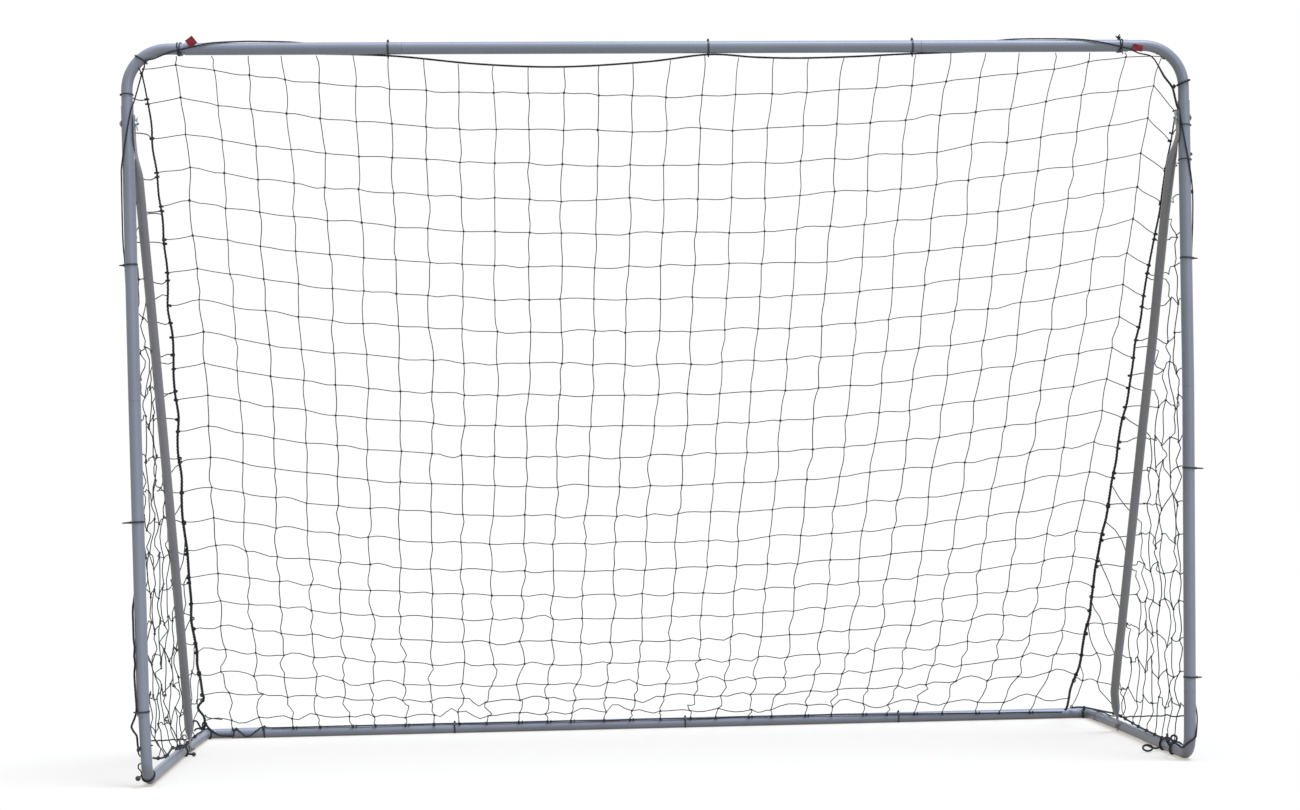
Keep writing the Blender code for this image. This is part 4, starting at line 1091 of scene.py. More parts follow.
def side_strand(side, places, shake, amount):
    """A strand of a side net through its places, turned round the strut where it passes it."""
    run = [places[0]]
    for a, b in zip(places, places[1:]):
        for c in past_strut(side, a, b) + [b]:
            run += slack(run[-1], c, shake, amount) + [c]
    return run


def build_side_nets(sizes, colours):
    """The two side nets between the posts, the seam ropes and the low cords."""
    twine = finish_named("net_twine", colours)
    for side, word in ((-1, "left"), (1, "right")):
        shake = random.Random(SIDE_SEED[side])
        seam = LEFT_SEAM if side < 0 else RIGHT_SEAM
        grid, rows = side_grid(side, shake)
        runs = []
        spots = []
        for j in range(rows):
            row = [grid[key] for key in sorted(grid) if key[0] == j]
            spots += row[1:]
            z = SIDE_TOP[side] - SIDE_PITCH * j + shake.gauss(0, 0.006)
            end = seam_spot(seam, max(0.055, z - 0.012))
            runs.append(side_strand(side, row + [end], shake, amount=0.0055))
            runs.append(loop_round(end, seam_ahead(seam, end.z), SEAM_TURN_R, turns=2.0,
                                   pitch=0.004, start=shake.uniform(0, 6)))
            if j < (1 if side < 0 else 2):
                ring = (TUBE_R if side > 0 or j else THIN_R + 0.0004) + 0.0010
                runs.append(band((side * POST_X, FRONT_Y, row[0].z), (0, 0.06, 1), ring))
                spots.append(Vector((side * (POST_X + ring), FRONT_Y, row[0].z)))
        for k in range(1, 1 + max(key[1] for key in grid)):
            column = [grid[j, k] for j in range(rows) if (j, k) in grid]
            if not column:
                continue
            head = column[0]
            top = seam_spot(seam, min(2.0, max(z for z, y in DEPTH_BY_HEIGHT if y >= head.y)))
            top = top if top.z - head.z < 0.16 else seam_spot(seam, head.z + 0.07)
            low = column[-1]
            foot = low_spot(side, min(0.50, low.y + shake.uniform(-0.02, 0.02)), low.x)
            run = side_strand(side, [top, *column, foot], shake, amount=0.0065)
            runs.append(run + loop_round(foot, (0, 1, 0), radius=0.0042, turns=1.5, pitch=0.004,
                                         start=1.0))
        strands("net_side_" + word, runs, sizes.twine_radius * 1.1, twine,
                ("net_side_" + word,))
        knots("net_side_knots_" + word, spots, sizes.knot_radius, twine, shake)


# Ropes and cords

def build_ropes(sizes, colours):
    """The top rope, the rear rope, the two seam ropes, the mouth cords and the side ropes."""
    rope = finish_named("laid_rope", colours)
    shake = random.Random(ROPE_SEED)
    run = [(x, FRONT_Y, sag_z(x)) if under_bar(x) else
           (x, FRONT_Y + ROPE_BEHIND, sag_z(x) + ROPE_OVER) for x, _ in TOP_SAG]
    rope_piece("top_rope", run, sizes.rope_radius, ROPE_LAY, rope)
    run = smooth_run(REAR_START, 0.006)
    run += [rear_rope_spot(-1.265 + 2.65 * i / 24) for i in range(25)]
    rope_piece("rear_rope", uneven(run, shake, 0.0006), sizes.rope_radius * 0.82, ROPE_LAY, rope)
    for side, word, seam in ((-1, "left", LEFT_SEAM), (1, "right", RIGHT_SEAM)):
        run = [seam_spot(seam, hang_at(0.030 + 2.24 * (i / 34) ** 0.97)[1]) for i in range(35)]
        run = uneven(run, shake, 0.0022)
        if side < 0:
            run[:2] = [Vector(p) for p in SEAM_START]
            run = [p for p in run if p.z > 0.195] + smooth_run(SEAM_END_LEFT, 0.008)
        else:
            run = [seam_spot(seam, 1.848)] + [p for p in run if 0.10 < p.z < 1.82]
            run += SEAM_END_RIGHT
        rope_piece("seam_rope_" + word, run, sizes.seam_radius, SEAM_LAY, rope, SEAM_SWELL)
    for side, word, places in ((-1, "left", LEFT_CORD), (1, "right", RIGHT_CORD)):
        run = [mouth_spot(*place) for place in places]
        if side > 0:
            run.append(Vector((1.5020, FRONT_Y - 0.0060, 0.104)))
            run += [foot_spot(x, turn) for x, turn in ((1.494, 3), (1.480, 11), (1.468, 22),
                                                       (1.463, 38))]
        run += LEFT_TAIL if side < 0 else RIGHT_TAIL
        rope_piece("mouth_cord_" + word, smooth_run(run, 0.012), sizes.cord_radius, CORD_LAY, rope,
                   LEFT_SWELL if side < 0 else RIGHT_SWELL)
        run = smooth_run([(side * SIDE_ROPE_X, y, z) for y, z in SIDE_ROPE], 0.05)
        rope_piece("side_rope_" + word, uneven(run, shake, 0.0010), sizes.cord_radius, CORD_LAY,
                   rope)


# Elastics, loose cords, fasteners, ties and tags

def ring_run(place, radius, spread, lean):
    """Two turns of elastic round a tube that draw together at the bead, on the place's X."""
    made = []
    for off in (-1, 1):
        run = []
        for i in range(36):
            angle = 2 * math.pi * i / 36
            apart = 0.5 - 0.5 * math.cos(angle)
            run.append(place @ Vector((radius * math.cos(angle), radius * math.sin(angle),
                                       off * spread * apart ** 0.6 + lean * math.sin(angle)
                                       + off * 0.0011)))
        made.append(run + [run[0]])
    return made


def elastic(word, place, radius, spread, lean, bead_r, colours, tails):
    """An elastic loop with its bead, which sits on the place's X, and its knotted tails."""
    cord = finish_named("laid_rope", colours)
    nylon = finish_named("moulded_nylon", colours)
    name = "elastic_" + word
    runs = ring_run(place, radius + 0.0017, spread, lean)
    out = radius + bead_r * 0.9
    for x, y, z in tails:
        runs.append(smooth_run([place @ Vector((out, 0, 0)),
                                place @ Vector((out + x * 0.45, y * 0.2, z * 0.3)),
                                place @ Vector((out + x * 0.8, y * 0.6, z * 0.7)),
                                place @ Vector((out + x, y, z))], 0.003))
    strands(name + "_loops", runs, 0.0015, cord, (name,), sides=2)
    bm = bmesh.new()
    turn = Matrix.Rotation(math.pi / 2, 4, "X")
    ball(bm, place @ Matrix.Translation((out, 0, 0)) @ turn, bead_r, 0.92)
    put(name + "_bead", bm, nylon, (name,), flat=50.0)


def build_elastics(colours):
    """Elastic loops with beads at the top joints and the left foot."""
    place = axes((-1.339, FRONT_Y, BAR_Z), (1, 0, 0), (0, -0.62, -0.78))
    elastic("top_left", place, THIN_R, spread=0.0036, lean=0.003, bead_r=0.0066, colours=colours,
            tails=((0.004, -0.016, 0.003), (-0.034, -0.006, 0.006)))
    place = axes((1.302, FRONT_Y, BAR_Z), (1, 0, 0), (0, -0.66, -0.75))
    elastic("top_right", place, TUBE_R, spread=0.0030, lean=-0.003, bead_r=0.0060, colours=colours,
            tails=((0.010, -0.004, -0.004), (0.002, 0.010, 0.008)))
    cord = finish_named("laid_rope", colours)
    round_r = THIN_R + 0.0028
    run = []
    for i in range(22):
        turn = math.radians(-20 + 215 * i / 21)
        run.append(Vector((-POST_X + round_r * math.cos(turn), FRONT_Y + round_r * math.sin(turn),
                           0.116 - 0.0003 * i)))
    run += smooth_run([run[-1], (-1.5035, -0.5880, 0.1060), (-1.5020, -0.5950, 0.0960),
                       (-1.4970, -0.6010, 0.0880)], 0.003)[1:]
    strands("elastic_foot_left_loop", [run], 0.0020, cord, ("elastic_foot_left",), sides=2)


def loose_runs():
    """Loose loops and ends of cord: runs of points in metres, the thick cord's and the thin's."""
    under = math.radians(52)
    thick = [
        # right foot: bands round the ground tube, the ring, the oval loop and the long cord
        band((POST_X, -0.446, GROUND_Z), (-0.16, 1, 0.10), 0.0208),
        band((POST_X, -0.345, GROUND_Z + 0.001), (0.34, 1, -0.10), 0.0206),
        smooth_run([(1.4590, -0.520, 0.0430), (1.4545, -0.500, 0.0410), (1.4600, -0.460, 0.0370),
                    (1.4650, -0.446, 0.0340)], 0.005),
        eyelet((1.4560, -0.516, 0.0565), 0.0086, 0.00172, 0.0086),
        eyelet((1.4170, -0.375, 0.0130), 0.0150, 0.004, 0.0085),
        smooth_run([(1.4080, -0.373, 0.0205), (1.4200, -0.368, 0.0190), (1.4350, -0.358, 0.0120),
                    (1.4480, -0.350, 0.0080), (1.4640, -0.344, 0.0100)], 0.006),
        smooth_run([(1.4640, -0.448, 0.0260), (1.4560, -0.440, 0.0400), (1.4590, -0.434, 0.0520),
                    (1.4600, -0.430, 0.0600)], 0.006),
        smooth_run([(x, y, z) for y, x, z in RIGHT_LOW[:1:-1]], 0.02),
        # right post: the band below the corner
        band((POST_X, FRONT_Y, 1.9370), (-0.385, 0, 0.923), 0.0186),
        # right rear: a band on the bend
        band((1.4640, 0.5720, GROUND_Z), (-0.86, 0.50, 0.06), 0.0200),
        # left rear: the heavy rope over the bend and its band
        smooth_run([(-1.4760, 0.5560, 0.0500), (-1.4700, 0.5600, 0.0400), (-1.4590, 0.5635, 0.0290),
                    (-1.4390, 0.5625, 0.0150), (-1.4170, 0.5630, 0.0110),
                    (-1.3900, 0.5635, 0.0085)], 0.006),
        band((-1.4730, 0.5725, GROUND_Z), (0.75, 0.66, 0), 0.0186),
        # left rear: loops and eyelets by the corner
        smooth_run([(-1.5180, 0.5450, 0.0440), (-1.5170, 0.5420, 0.0560), (-1.5120, 0.5400, 0.0650),
                    (-1.5040, 0.5400, 0.0630), (-1.4985, 0.5400, 0.0540), (-1.4930, 0.5420, 0.0430),
                    (-1.4850, 0.5450, 0.0390)], 0.004),
        eyelet((-1.4800, 0.5440, 0.0520), 0.0066, 0.00132, 0.0066),
        eyelet((-1.4850, 0.5420, 0.0390), 0.0056, 0.00112, 0.00448),
        smooth_run([(-1.5120, 0.5300, 0.0330), (-1.5040, 0.5330, 0.0395), (-1.4950, 0.5360, 0.0400),
                    (-1.4850, 0.5400, 0.0370), (-1.4780, 0.5440, 0.0385)], 0.004),
        # left side: the slack rope beside the ground tube, its hanger and the slanted band
        smooth_run([(x, y, z) for y, x, z in LEFT_LOW[:10]], 0.012),
        band((-POST_X, 0.100, GROUND_Z), (0.30, 1, 0.36), 0.0200),
        smooth_run([(-1.4650, 0.094, 0.0110), (-1.4600, 0.094, 0.0090),
                    (-1.4520, 0.094, 0.0080)], 0.003),
        # left foot: the band under the bend
        band((-POST_X, FRONT_Y + FOOT_BEND_R * (1 - math.cos(under)),
              GROUND_Z + FOOT_BEND_R * (1 - math.sin(under))),
             (0.22, math.sin(under), -math.cos(under)), 0.0180),
    ]
    thin = [
        # left bend: the band across it and the short arm of the V
        band((-1.4430, FRONT_Y, 2.0150), (0.55, 0, 0.84), 0.0182),
        band((-1.4405, FRONT_Y, 2.0138), (0.60, 0.03, 0.80), 0.0180),
        smooth_run([(-1.4560, -0.5860, 2.0020), (-1.4500, -0.5900, 1.9930),
                    (-1.4410, -0.5870, 1.9760)], 0.004),
        # left foot: the half ring at the side of the post
        smooth_run([(-1.4960, -0.5960, 0.0680), (-1.5015, -0.5960, 0.0660),
                    (-1.5040, -0.5960, 0.0600), (-1.5030, -0.5960, 0.0530),
                    (-1.4980, -0.5960, 0.0480), (-1.4950, -0.5970, 0.0380),
                    (-1.5000, -0.5990, 0.0300)], 0.004),
        # left side: a slack loop above the low rope, and a strand across the rear corner
        smooth_run([(-1.4610, -0.1050, 0.0520), (-1.4600, -0.0980, 0.0720),
                    (-1.4600, -0.0750, 0.0800), (-1.4600, -0.0400, 0.0800),
                    (-1.4600, 0.0060, 0.0780), (-1.4620, 0.0400, 0.0720),
                    (-1.4640, 0.0670, 0.0635)], 0.006),
        smooth_run([(-1.4750, 0.5300, 0.0850), (-1.4700, 0.5350, 0.0760), (-1.4560, 0.5400, 0.0720),
                    (-1.4380, 0.5450, 0.0690), (-1.4230, 0.5480, 0.0660)], 0.006),
        # top right: knotted ends above the crossbar
        smooth_run([(1.3030, -0.5880, 2.0620), (1.2990, -0.5860, 2.0680),
                    (1.3030, -0.5850, 2.0745)], 0.002),
        smooth_run([(1.3020, -0.5860, 2.0640), (1.2960, -0.5850, 2.0660),
                    (1.2925, -0.5840, 2.0700)], 0.002),
    ]
    return thick, thin


def build_loose(colours):
    """The loose loops, bands and ends of cord at the feet and the rear corners."""
    cord = finish_named("laid_rope", colours)
    nylon = finish_named("moulded_nylon", colours)
    thick, thin = loose_runs()
    for run in thick + thin:
        for spot in run:
            spot.z = max(spot.z, LOOSE_Z)
    strands("cord_loops_thick", thick, 0.0030, cord, sides=3)
    strands("cord_loops_thin", thin, 0.0019, cord, sides=2)
    thread = loop_round((1.4148, FRONT_Y, 2.0331), (0.915, 0, -0.403), radius=0.0161, turns=0.30,
                        start=3.3, steps=28)
    strands("bend_thread", [thread], 0.0008, cord)
    spots = [(1.4580, -0.5080, 0.0445), (1.4600, -0.4420, 0.0400), (1.4600, 0.5600, 0.0370),
             (1.4560, 0.5640, 0.0070), (-1.4412, -0.5885, 1.9745), (-1.4830, 0.5460, 0.0440),
             (-1.4910, 0.5400, 0.0390), (1.4540, -0.5900, 1.9250), (1.3000, -0.5870, 2.0655),
             (POST_X + 0.0184, FRONT_Y, 1.733), (POST_X + 0.0188, FRONT_Y, 1.626)]
    knots("cord_knots", [Vector(spot) for spot in spots], 0.0055, cord,
          random.Random(LOOSE_SEED))
    bm = bmesh.new()
    for spot, radius, tall in (((-1.5050, -0.6000, 0.0270), 0.0074, 1.0),
                               ((-1.4460, 0.0940, 0.0080), 0.0068, 1.0),
                               ((-1.5020, -0.5920, 0.1060), 0.0052, 1.45)):
        ball(bm, Matrix.Translation(spot) @ Matrix.Rotation(0.3, 4, "Y"), radius, tall)
    put("cord_beads", bm, nylon, flat=50.0)


def wing(bm, place, wide, tall, thick):
    """One rounded wing plate, its root at the place and standing along the place's X."""
    made = bmesh.ops.create_circle(bm, cap_ends=True, segments=24, radius=1.0,
                                   matrix=place @ Matrix.Translation((tall * 0.5, 0, -thick / 2))
                                   @ Matrix.Diagonal((tall * 0.62, wide / 2, 1, 1)))
    grown = bmesh.ops.extrude_face_region(bm, geom=made["verts"][0].link_faces[:])["geom"]
    up = place.to_3x3() @ Vector((0, 0, thick))
    bmesh.ops.translate(bm, vec=up, verts=of_kind(grown, bmesh.types.BMVert))
    bmesh.ops.bevel(bm, geom=of_kind(grown, bmesh.types.BMEdge), affect="EDGES",
                    offset=thick * 0.3, segments=2, profile=0.5, material=-1)


def bolt(name, place, grip, flange, zinc):
    """A domed bolt with a flange; the turns of its thread show past what it grips."""
    reach = grip + PAST_GRIP
    turns = []
    at = grip + SEAT_GAP
    while at < reach - 0.0006:
        turns += [(THREAD_R, at), (THREAD_INNER_R, at + THREAD_TURN / 2)]
        at += THREAD_TURN
    bm = bmesh.new()
    lathe(bm, [*BOLT_DOME, (flange, -0.0012), (flange, -SEAT_GAP), (THREAD_R, -SEAT_GAP), *turns,
               (0.0033, reach - 0.0004), (0.0026, reach), (0.0, reach)], place, sides=32)
    put(name, bm, zinc, (name,), flat=40.0)


def nut(name, place, wings, zinc):
    """A round nut with two wings, or a plain one with six sides."""
    bm = bmesh.new()
    lathe(bm, WING_NUT if wings else FOOT_NUT, place, sides=32 if wings else 6)
    for up in (1, -1) if wings else ():
        root = place @ Matrix.Translation((up * 0.0050, 0, 0.0036))
        root = root @ Matrix.Rotation(math.radians(-14 * up), 4, "Y")
        root = root @ Matrix.Rotation(0 if up > 0 else math.pi, 4, "Z")
        wing(bm, root, wide=0.0125, tall=0.0135, thick=0.0024)
    put(name, bm, zinc, (name,), flat=40.0)


def build_fasteners(colours):
    """Domed bolts, wing nuts, hex nuts and the rear joint screws."""
    zinc = finish_named("zinc_plated_steel", colours)
    for side, word, foot_r, screw_y in ((-1, "left", TUBE_R, 0.510), (1, "right", THIN_R, 0.480)):
        inward = Vector((-side, 0, 0))
        for kind, nut_kind, head_x, seat, y, z, flange in (
                ("top_bolt_", "wing_nut_", POST_X + TUBE_R, STRUT_X - 0.0015, FRONT_Y, BOLT_Z,
                 0.0092),
                ("foot_bolt_", "foot_nut_", POST_X + foot_r, STRUT_FOOT_X[side] - 0.0015,
                 STRUT_FOOT_Y, GROUND_Z, 0.0070)):
            bolt(kind + word, axes((side * head_x, y, z), inward, (0, 0, 1)), head_x - seat,
                 flange, zinc)
            nut(nut_kind + word, axes((side * seat, y, z), inward, (0, 0, 1)),
                nut_kind == "wing_nut_", zinc)
        slant = Vector((-side, 0, -1)).normalized()
        seat = Vector((side * POST_X, screw_y, GROUND_Z)) + slant * TUBE_R
        bm = bmesh.new()
        lathe(bm, REAR_SCREW, axes(seat, -slant, (0, 1, 0)), sides=24)
        put("rear_screw_" + word, bm, zinc, ("rear_screw_" + word,), flat=40.0)


def turn_between(one, other):
    """The smaller angle between two turns, in degrees."""
    return abs((one - other + 180) % 360 - 180)


def tie(name, place, radius, tail, material, cord_turn, tail_turn, stub=0.0, lift=0.004):
    """A plastic tie round a tube and a cord beside it: place is a matrix with Z along the tube, the
    turns are in degrees, and a tie may have a stub on the side that is opposite its tail."""
    thick = 0.0013
    width = 0.0050
    bulge = 0.0050
    spread = 44
    head_size = (0.0048, 0.0066, width + 0.0020)
    bm = bmesh.new()
    start = place @ Matrix.Translation((radius + SEAT_GAP + thick / 2, 0, 0))
    made = bmesh.ops.create_grid(bm, x_segments=1, y_segments=1, size=0.5,
                                 matrix=start @ Matrix.Rotation(math.pi / 2, 4, "X")
                                 @ Matrix.Diagonal((thick, width, 1, 1)))
    bmesh.ops.delete(bm, geom=bm.faces[:], context="FACES_ONLY")
    bmesh.ops.spin(bm, geom=made["verts"] + bm.edges[:], cent=place.translation,
                   axis=place.to_3x3() @ Vector((0, 0, 1)), angle=2 * math.pi, steps=48,
                   use_merge=True)
    back = place.inverted()
    for vert in bm.verts:
        local = back @ vert.co
        off = turn_between(math.degrees(math.atan2(local.y, local.x)), cord_turn)
        if off < spread:
            grow = bulge * (0.5 + 0.5 * math.cos(math.radians(off * 180 / spread)))
            size = math.hypot(local.x, local.y)
            local.xy *= (size + grow) / size
            vert.co = place @ local
    ray = place @ Matrix.Rotation(math.radians(tail_turn), 4, "Z")
    reach = radius + (bulge if turn_between(tail_turn, cord_turn) < 20 else 0.0)
    head = bmesh.ops.create_cube(bm, size=1.0, matrix=ray @ Matrix.Translation(
        (reach + 0.0028, 0, 0)) @ Matrix.Diagonal((*head_size, 1)))
    bmesh.ops.bevel(bm, geom=edges_of(head["verts"]), affect="EDGES", offset=0.0007, segments=2,
                    profile=0.5, material=-1)
    for length, flip in ((tail, 1), (stub, -1)):
        if not length:
            continue
        rows = []
        for f in (0.0, 0.2, 0.45, 0.7, 0.9, 1.0):
            out = (reach + 0.003 + length * f) * flip
            wide = width * (0.56 - 0.20 * f if f < 0.95 else 0.16)
            ahead = ray.to_3x3() @ Vector((flip, lift * 2.2 * f, 0))
            rows.append((axes(ray @ Vector((out, lift * f * f, 0.0)), ahead,
                              ray.to_3x3() @ Vector((0, 0, 1))), wide, 0.0008))
        loft(bm, rows, sides=8)
    return put(name, bm, material, (name,), flat=30.0)


def build_ties(colours):
    """Ties on the posts, the crossbar and the rear bar."""
    nylon = finish_named("moulded_nylon", colours)
    for side, word, rows in (
            (-1, "left", ((1.447, 0.012, 128, 0.003), (0.735, 0.024, 132, -0.003),
                          (0.209, 0.007, 230, 0.002))),
            (1, "right", ((1.437, 0.013, 52, -0.002), (0.837, 0.024, 50, 0.004),
                          (0.239, 0.017, 30, 0.005)))):
        for i, (z, tail, cord_turn, lift) in enumerate(rows):
            place = Matrix.Translation((side * POST_X, FRONT_Y, z))
            place = place @ Matrix.Rotation(side * 0.05, 4, "Y")
            tie("tie_post_%s_%d" % (word, i + 1), place, TUBE_R, tail, nylon, cord_turn,
                0 if side > 0 else 180, lift=lift)
    for i, (x, turn) in enumerate(((-0.768, 176), (0.127, 172), (0.706, 180))):
        place = axes((x, FRONT_Y, BAR_Z), (1, 0, 0), (0, 0, -1))
        tie("tie_top_%d" % (i + 1), place, TUBE_R, 0.0050, nylon, cord_turn=0, tail_turn=turn,
            stub=0.0095, lift=0.001)
    for i, x in enumerate((-1.289, -0.662, 0.107, 0.828)):
        place = axes((x, REAR_Y, GROUND_Z), (1, 0, 0), (0, 0, 1))
        tie("tie_rear_%d" % (i + 1), place, TUBE_R, 0.008, nylon, cord_turn=45, tail_turn=20)


def build_tags(colours):
    """Two small cloth tags at the upper corners, held under the mouth cords."""
    ribbon = finish_named("woven_ribbon", colours)
    for name, spot, turn, wide, tall in (
            ("tag_left", (-1.3060, -0.6045, 2.0590), 52, 0.0245, 0.0235),
            ("tag_right", (1.3490, -0.6040, 2.0330), 12, 0.0265, 0.0180)):
        bm = bmesh.new()
        place = Matrix.Translation(spot) @ Matrix.Rotation(math.radians(turn), 4, "Y")
        place = place @ Matrix.Rotation(math.pi / 2, 4, "X") @ Matrix.Diagonal((wide, tall, 1, 1))
        bmesh.ops.create_grid(bm, x_segments=10, y_segments=10, size=0.5, matrix=place)
        back = place.inverted()
        for vert in bm.verts:
            local = back @ vert.co
            local.z += 0.0011 * math.sin(local.x * 4.6 + 0.6) * math.cos(local.y * 3.4)
            vert.co = place @ local
        bmesh.ops.solidify(bm, geom=bm.faces[:], thickness=0.0007)
        put(name, bm, ribbon, (name,), flat=50.0)


# Stage

def sun(name, towards, strength, spread, colour):
    """A soft even lamp shining along a direction."""
    lamp = bpy.data.lights.new(name, "SUN")
    lamp.energy = strength
    lamp.angle = math.radians(spread)
    lamp.color = colour
    shown(name, lamp).rotation_euler = Vector(towards).to_track_quat("-Z", "Y").to_euler()


def seen_plainly(tree):
    """One for rays from the camera, from gloss and through glass, else zero."""
    path = add_node(tree, "ShaderNodeLightPath")
    seen = path.outputs["Is Camera Ray"]
    for kind in ("Is Glossy Ray", "Is Transmission Ray"):
        seen = joined(tree, seen, path.outputs[kind], "MAXIMUM")
    return seen


def build_floor():
    """A wide pale floor that keeps the goal's soft shadow."""
    bm = bmesh.new()
    bmesh.ops.create_grid(bm, x_segments=1, y_segments=1, size=40.0,
                          matrix=Matrix.Translation((0, 0, -0.0005)))
    floor = shown("floor", mesh_of("floor", bm))
    # Matt studio floor paint: no gloss, and to the eye it runs into the white surround.
    made = bpy.data.materials.new("matt_floor_paint")
    tree = empty_tree(made)
    paint = add_node(tree, "ShaderNodeBsdfDiffuse", {"Color": (*linear("A8A49A"), 1.0)})
    glow = add_node(tree, "ShaderNodeEmission", {"Color": (0.47, 0.435, 0.40, 1.0),
                                                 "Strength": 1.0})
    dark = add_node(tree, "ShaderNodeEmission", {"Strength": 0.0})
    lift = add_node(tree, "ShaderNodeMixShader", {0: seen_plainly(tree), 1: dark.outputs[0],
                                                  2: glow.outputs[0]})
    both = add_node(tree, "ShaderNodeAddShader", {0: paint.outputs[0], 1: lift.outputs[0]})
    add_node(tree, "ShaderNodeOutputMaterial", {"Surface": both.outputs[0]})
    floor.data.materials.append(made)


def build_stage():
    """Camera, lamps, a pale floor and a white surround."""
    data = bpy.data.cameras.new("camera")
    data.lens = 60.0
    data.sensor_width = 36.0
    data.shift_x = -0.0231
    data.shift_y = 0.0731
    data.clip_start = 0.1
    data.clip_end = 90.0
    camera = shown("camera", data)
    turn = Matrix(((0.9977, 0.01727, -0.06548), (-0.06558, 0.00515, -0.99783),
                   (-0.01689, 0.99984, 0.00627)))
    camera.matrix_world = Matrix.Translation((-0.3731, -6.6679, 0.8085)) @ turn.to_4x4()
    bpy.context.scene.camera = camera
    sun("key_lamp", (-0.30, 0.22, -0.90), strength=2.7, spread=24, colour=(0.80, 0.94, 1.20))
    sun("top_lamp", (0.05, 0.10, -1.0), strength=1.6, spread=45, colour=(0.74, 0.90, 1.22))
    sun("fill_lamp", (-0.45, 0.86, -0.24), strength=0.75, spread=40, colour=(0.90, 0.94, 1.20))
    world = bpy.data.worlds.new("white_surround")
    bpy.context.scene.world = world
    tree = empty_tree(world)
    light = add_node(tree, "ShaderNodeBackground", {"Color": (1.0, 0.99, 0.96, 1.0),
                                                    "Strength": 0.34})
    white = add_node(tree, "ShaderNodeBackground", {"Color": (1.0, 1.0, 1.0, 1.0),
                                                    "Strength": 1.0})
    mix = add_node(tree, "ShaderNodeMixShader", {0: seen_plainly(tree), 1: light.outputs[0],
                                                 2: white.outputs[0]})
    add_node(tree, "ShaderNodeOutputWorld", {"Surface": mix.outputs[0]})
    bpy.context.scene.view_settings.view_transform = "Standard"
    build_floor()


# Operators

class GOAL_OT_tubes(bpy.types.Operator):
    """Build the crossbar, bends, posts and ground tubes"""
    bl_idname = "goal.tubes"
    bl_label = "Tubes"

    def execute(self, context):
        build_tubes(context.scene.goal_sizes, context.scene.goal_colours)
        return {"FINISHED"}


class GOAL_OT_struts(bpy.types.Operator):
    """Build the two sloping struts"""
    bl_idname = "goal.struts"
    bl_label = "Struts"

    def execute(self, context):
        build_struts(context.scene.goal_colours)
        return {"FINISHED"}


class GOAL_OT_back_net(bpy.types.Operator):
    """Knot the sloping back net"""
    bl_idname = "goal.back_net"
    bl_label = "Back Net"

    def execute(self, context):
        build_back_net(context.scene.goal_sizes, context.scene.goal_colours)
        return {"FINISHED"}


class GOAL_OT_side_nets(bpy.types.Operator):
    """Knot the two side nets"""
    bl_idname = "goal.side_nets"
    bl_label = "Side Nets"

    def execute(self, context):
        build_side_nets(context.scene.goal_sizes, context.scene.goal_colours)
        return {"FINISHED"}


class GOAL_OT_ropes(bpy.types.Operator):
    """Lay the ropes and lacing cords"""
    bl_idname = "goal.ropes"
    bl_label = "Ropes and Cords"

    def execute(self, context):
        build_ropes(context.scene.goal_sizes, context.scene.goal_colours)
        return {"FINISHED"}


class GOAL_OT_fasteners(bpy.types.Operator):
    """Turn the bolts, nuts and screws"""
    bl_idname = "goal.fasteners"
    bl_label = "Fasteners"

    def execute(self, context):
        build_fasteners(context.scene.goal_colours)
        return {"FINISHED"}


class GOAL_OT_elastics(bpy.types.Operator):
    """Knot the elastic loops and their beads"""
    bl_idname = "goal.elastics"
    bl_label = "Elastics"

    def execute(self, context):
        build_elastics(context.scene.goal_colours)
        return {"FINISHED"}


class GOAL_OT_loose(bpy.types.Operator):
    """Lay the loose loops and ends of cord"""
    bl_idname = "goal.loose"
    bl_label = "Loose Cords"

    def execute(self, context):
        build_loose(context.scene.goal_colours)
        return {"FINISHED"}


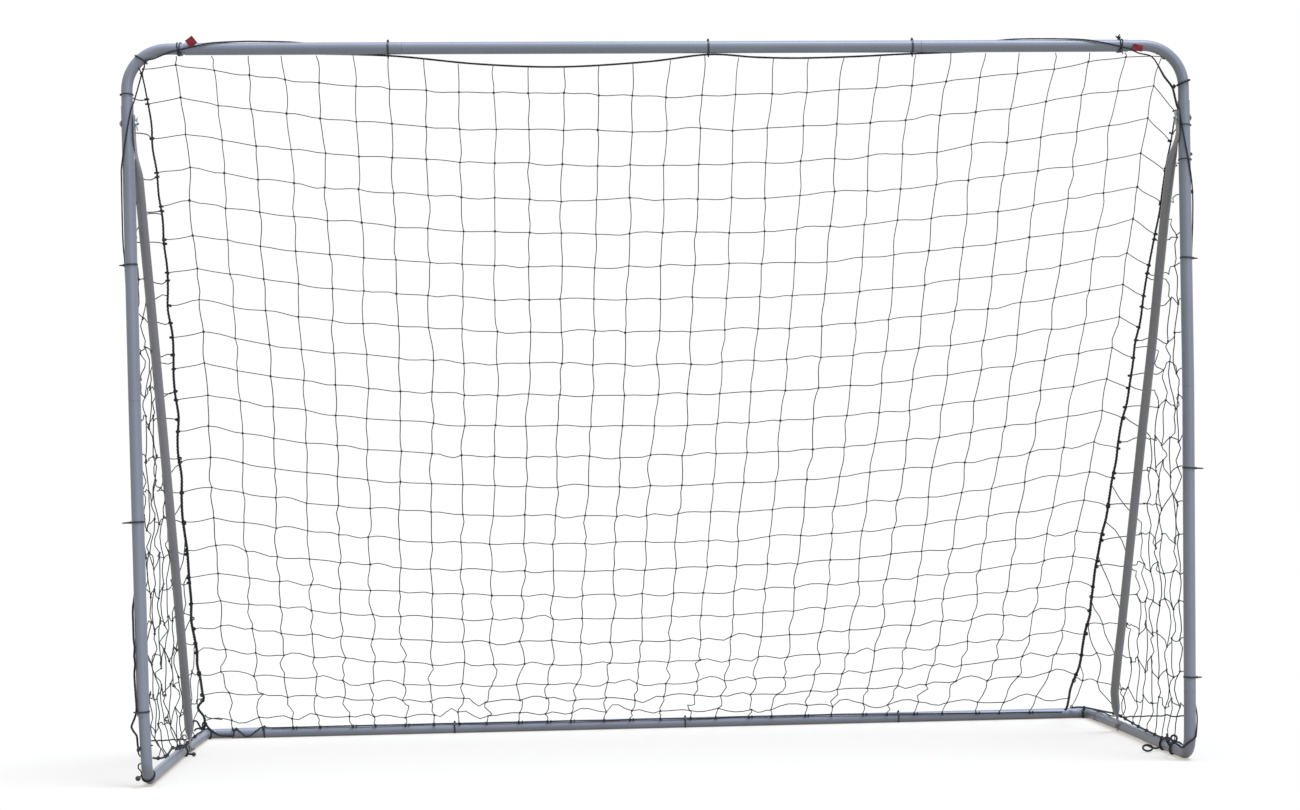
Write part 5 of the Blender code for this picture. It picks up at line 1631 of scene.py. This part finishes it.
class GOAL_OT_ties(bpy.types.Operator):
    """Fasten the plastic ties"""
    bl_idname = "goal.ties"
    bl_label = "Ties"

    def execute(self, context):
        build_ties(context.scene.goal_colours)
        return {"FINISHED"}


class GOAL_OT_tags(bpy.types.Operator):
    """Hang the two cloth tags"""
    bl_idname = "goal.tags"
    bl_label = "Tags"

    def execute(self, context):
        build_tags(context.scene.goal_colours)
        return {"FINISHED"}


class GOAL_OT_stage(bpy.types.Operator):
    """Set the camera, the lamps and the white surround"""
    bl_idname = "goal.stage"
    bl_label = "Stage"

    def execute(self, context):
        build_stage()
        return {"FINISHED"}


STEPS = (GOAL_OT_stage, GOAL_OT_tubes, GOAL_OT_struts, GOAL_OT_back_net, GOAL_OT_side_nets,
         GOAL_OT_ropes, GOAL_OT_fasteners, GOAL_OT_elastics, GOAL_OT_loose, GOAL_OT_ties,
         GOAL_OT_tags)


class GOAL_PT_panel(bpy.types.Panel):
    """Buttons and sizes of the goal"""
    bl_label = "Goal"
    bl_idname = "GOAL_PT_panel"
    bl_space_type = "VIEW_3D"
    bl_region_type = "UI"
    bl_category = "Goal"

    def draw(self, context):
        for step in STEPS:
            self.layout.operator(step.bl_idname)
        for group in (context.scene.goal_sizes, context.scene.goal_colours):
            for name in group.bl_rna.properties.keys():
                if name not in ("rna_type", "name"):
                    self.layout.prop(group, name)


CLASSES = (GoalSizes, GoalColours, *STEPS, GOAL_PT_panel)


def register():
    """Add the goal's settings and buttons."""
    for made in CLASSES:
        bpy.utils.register_class(made)
    bpy.types.Scene.goal_sizes = PointerProperty(type=GoalSizes)
    bpy.types.Scene.goal_colours = PointerProperty(type=GoalColours)


def unregister():
    """Take the goal's settings and buttons away."""
    del bpy.types.Scene.goal_colours
    del bpy.types.Scene.goal_sizes
    for made in reversed(CLASSES):
        bpy.utils.unregister_class(made)


def main():
    """Build everything."""
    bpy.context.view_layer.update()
    register()
    for step in STEPS:
        area, _, action = step.bl_idname.partition(".")
        getattr(getattr(bpy.ops, area), action)()


if __name__ == "__main__":
    main()
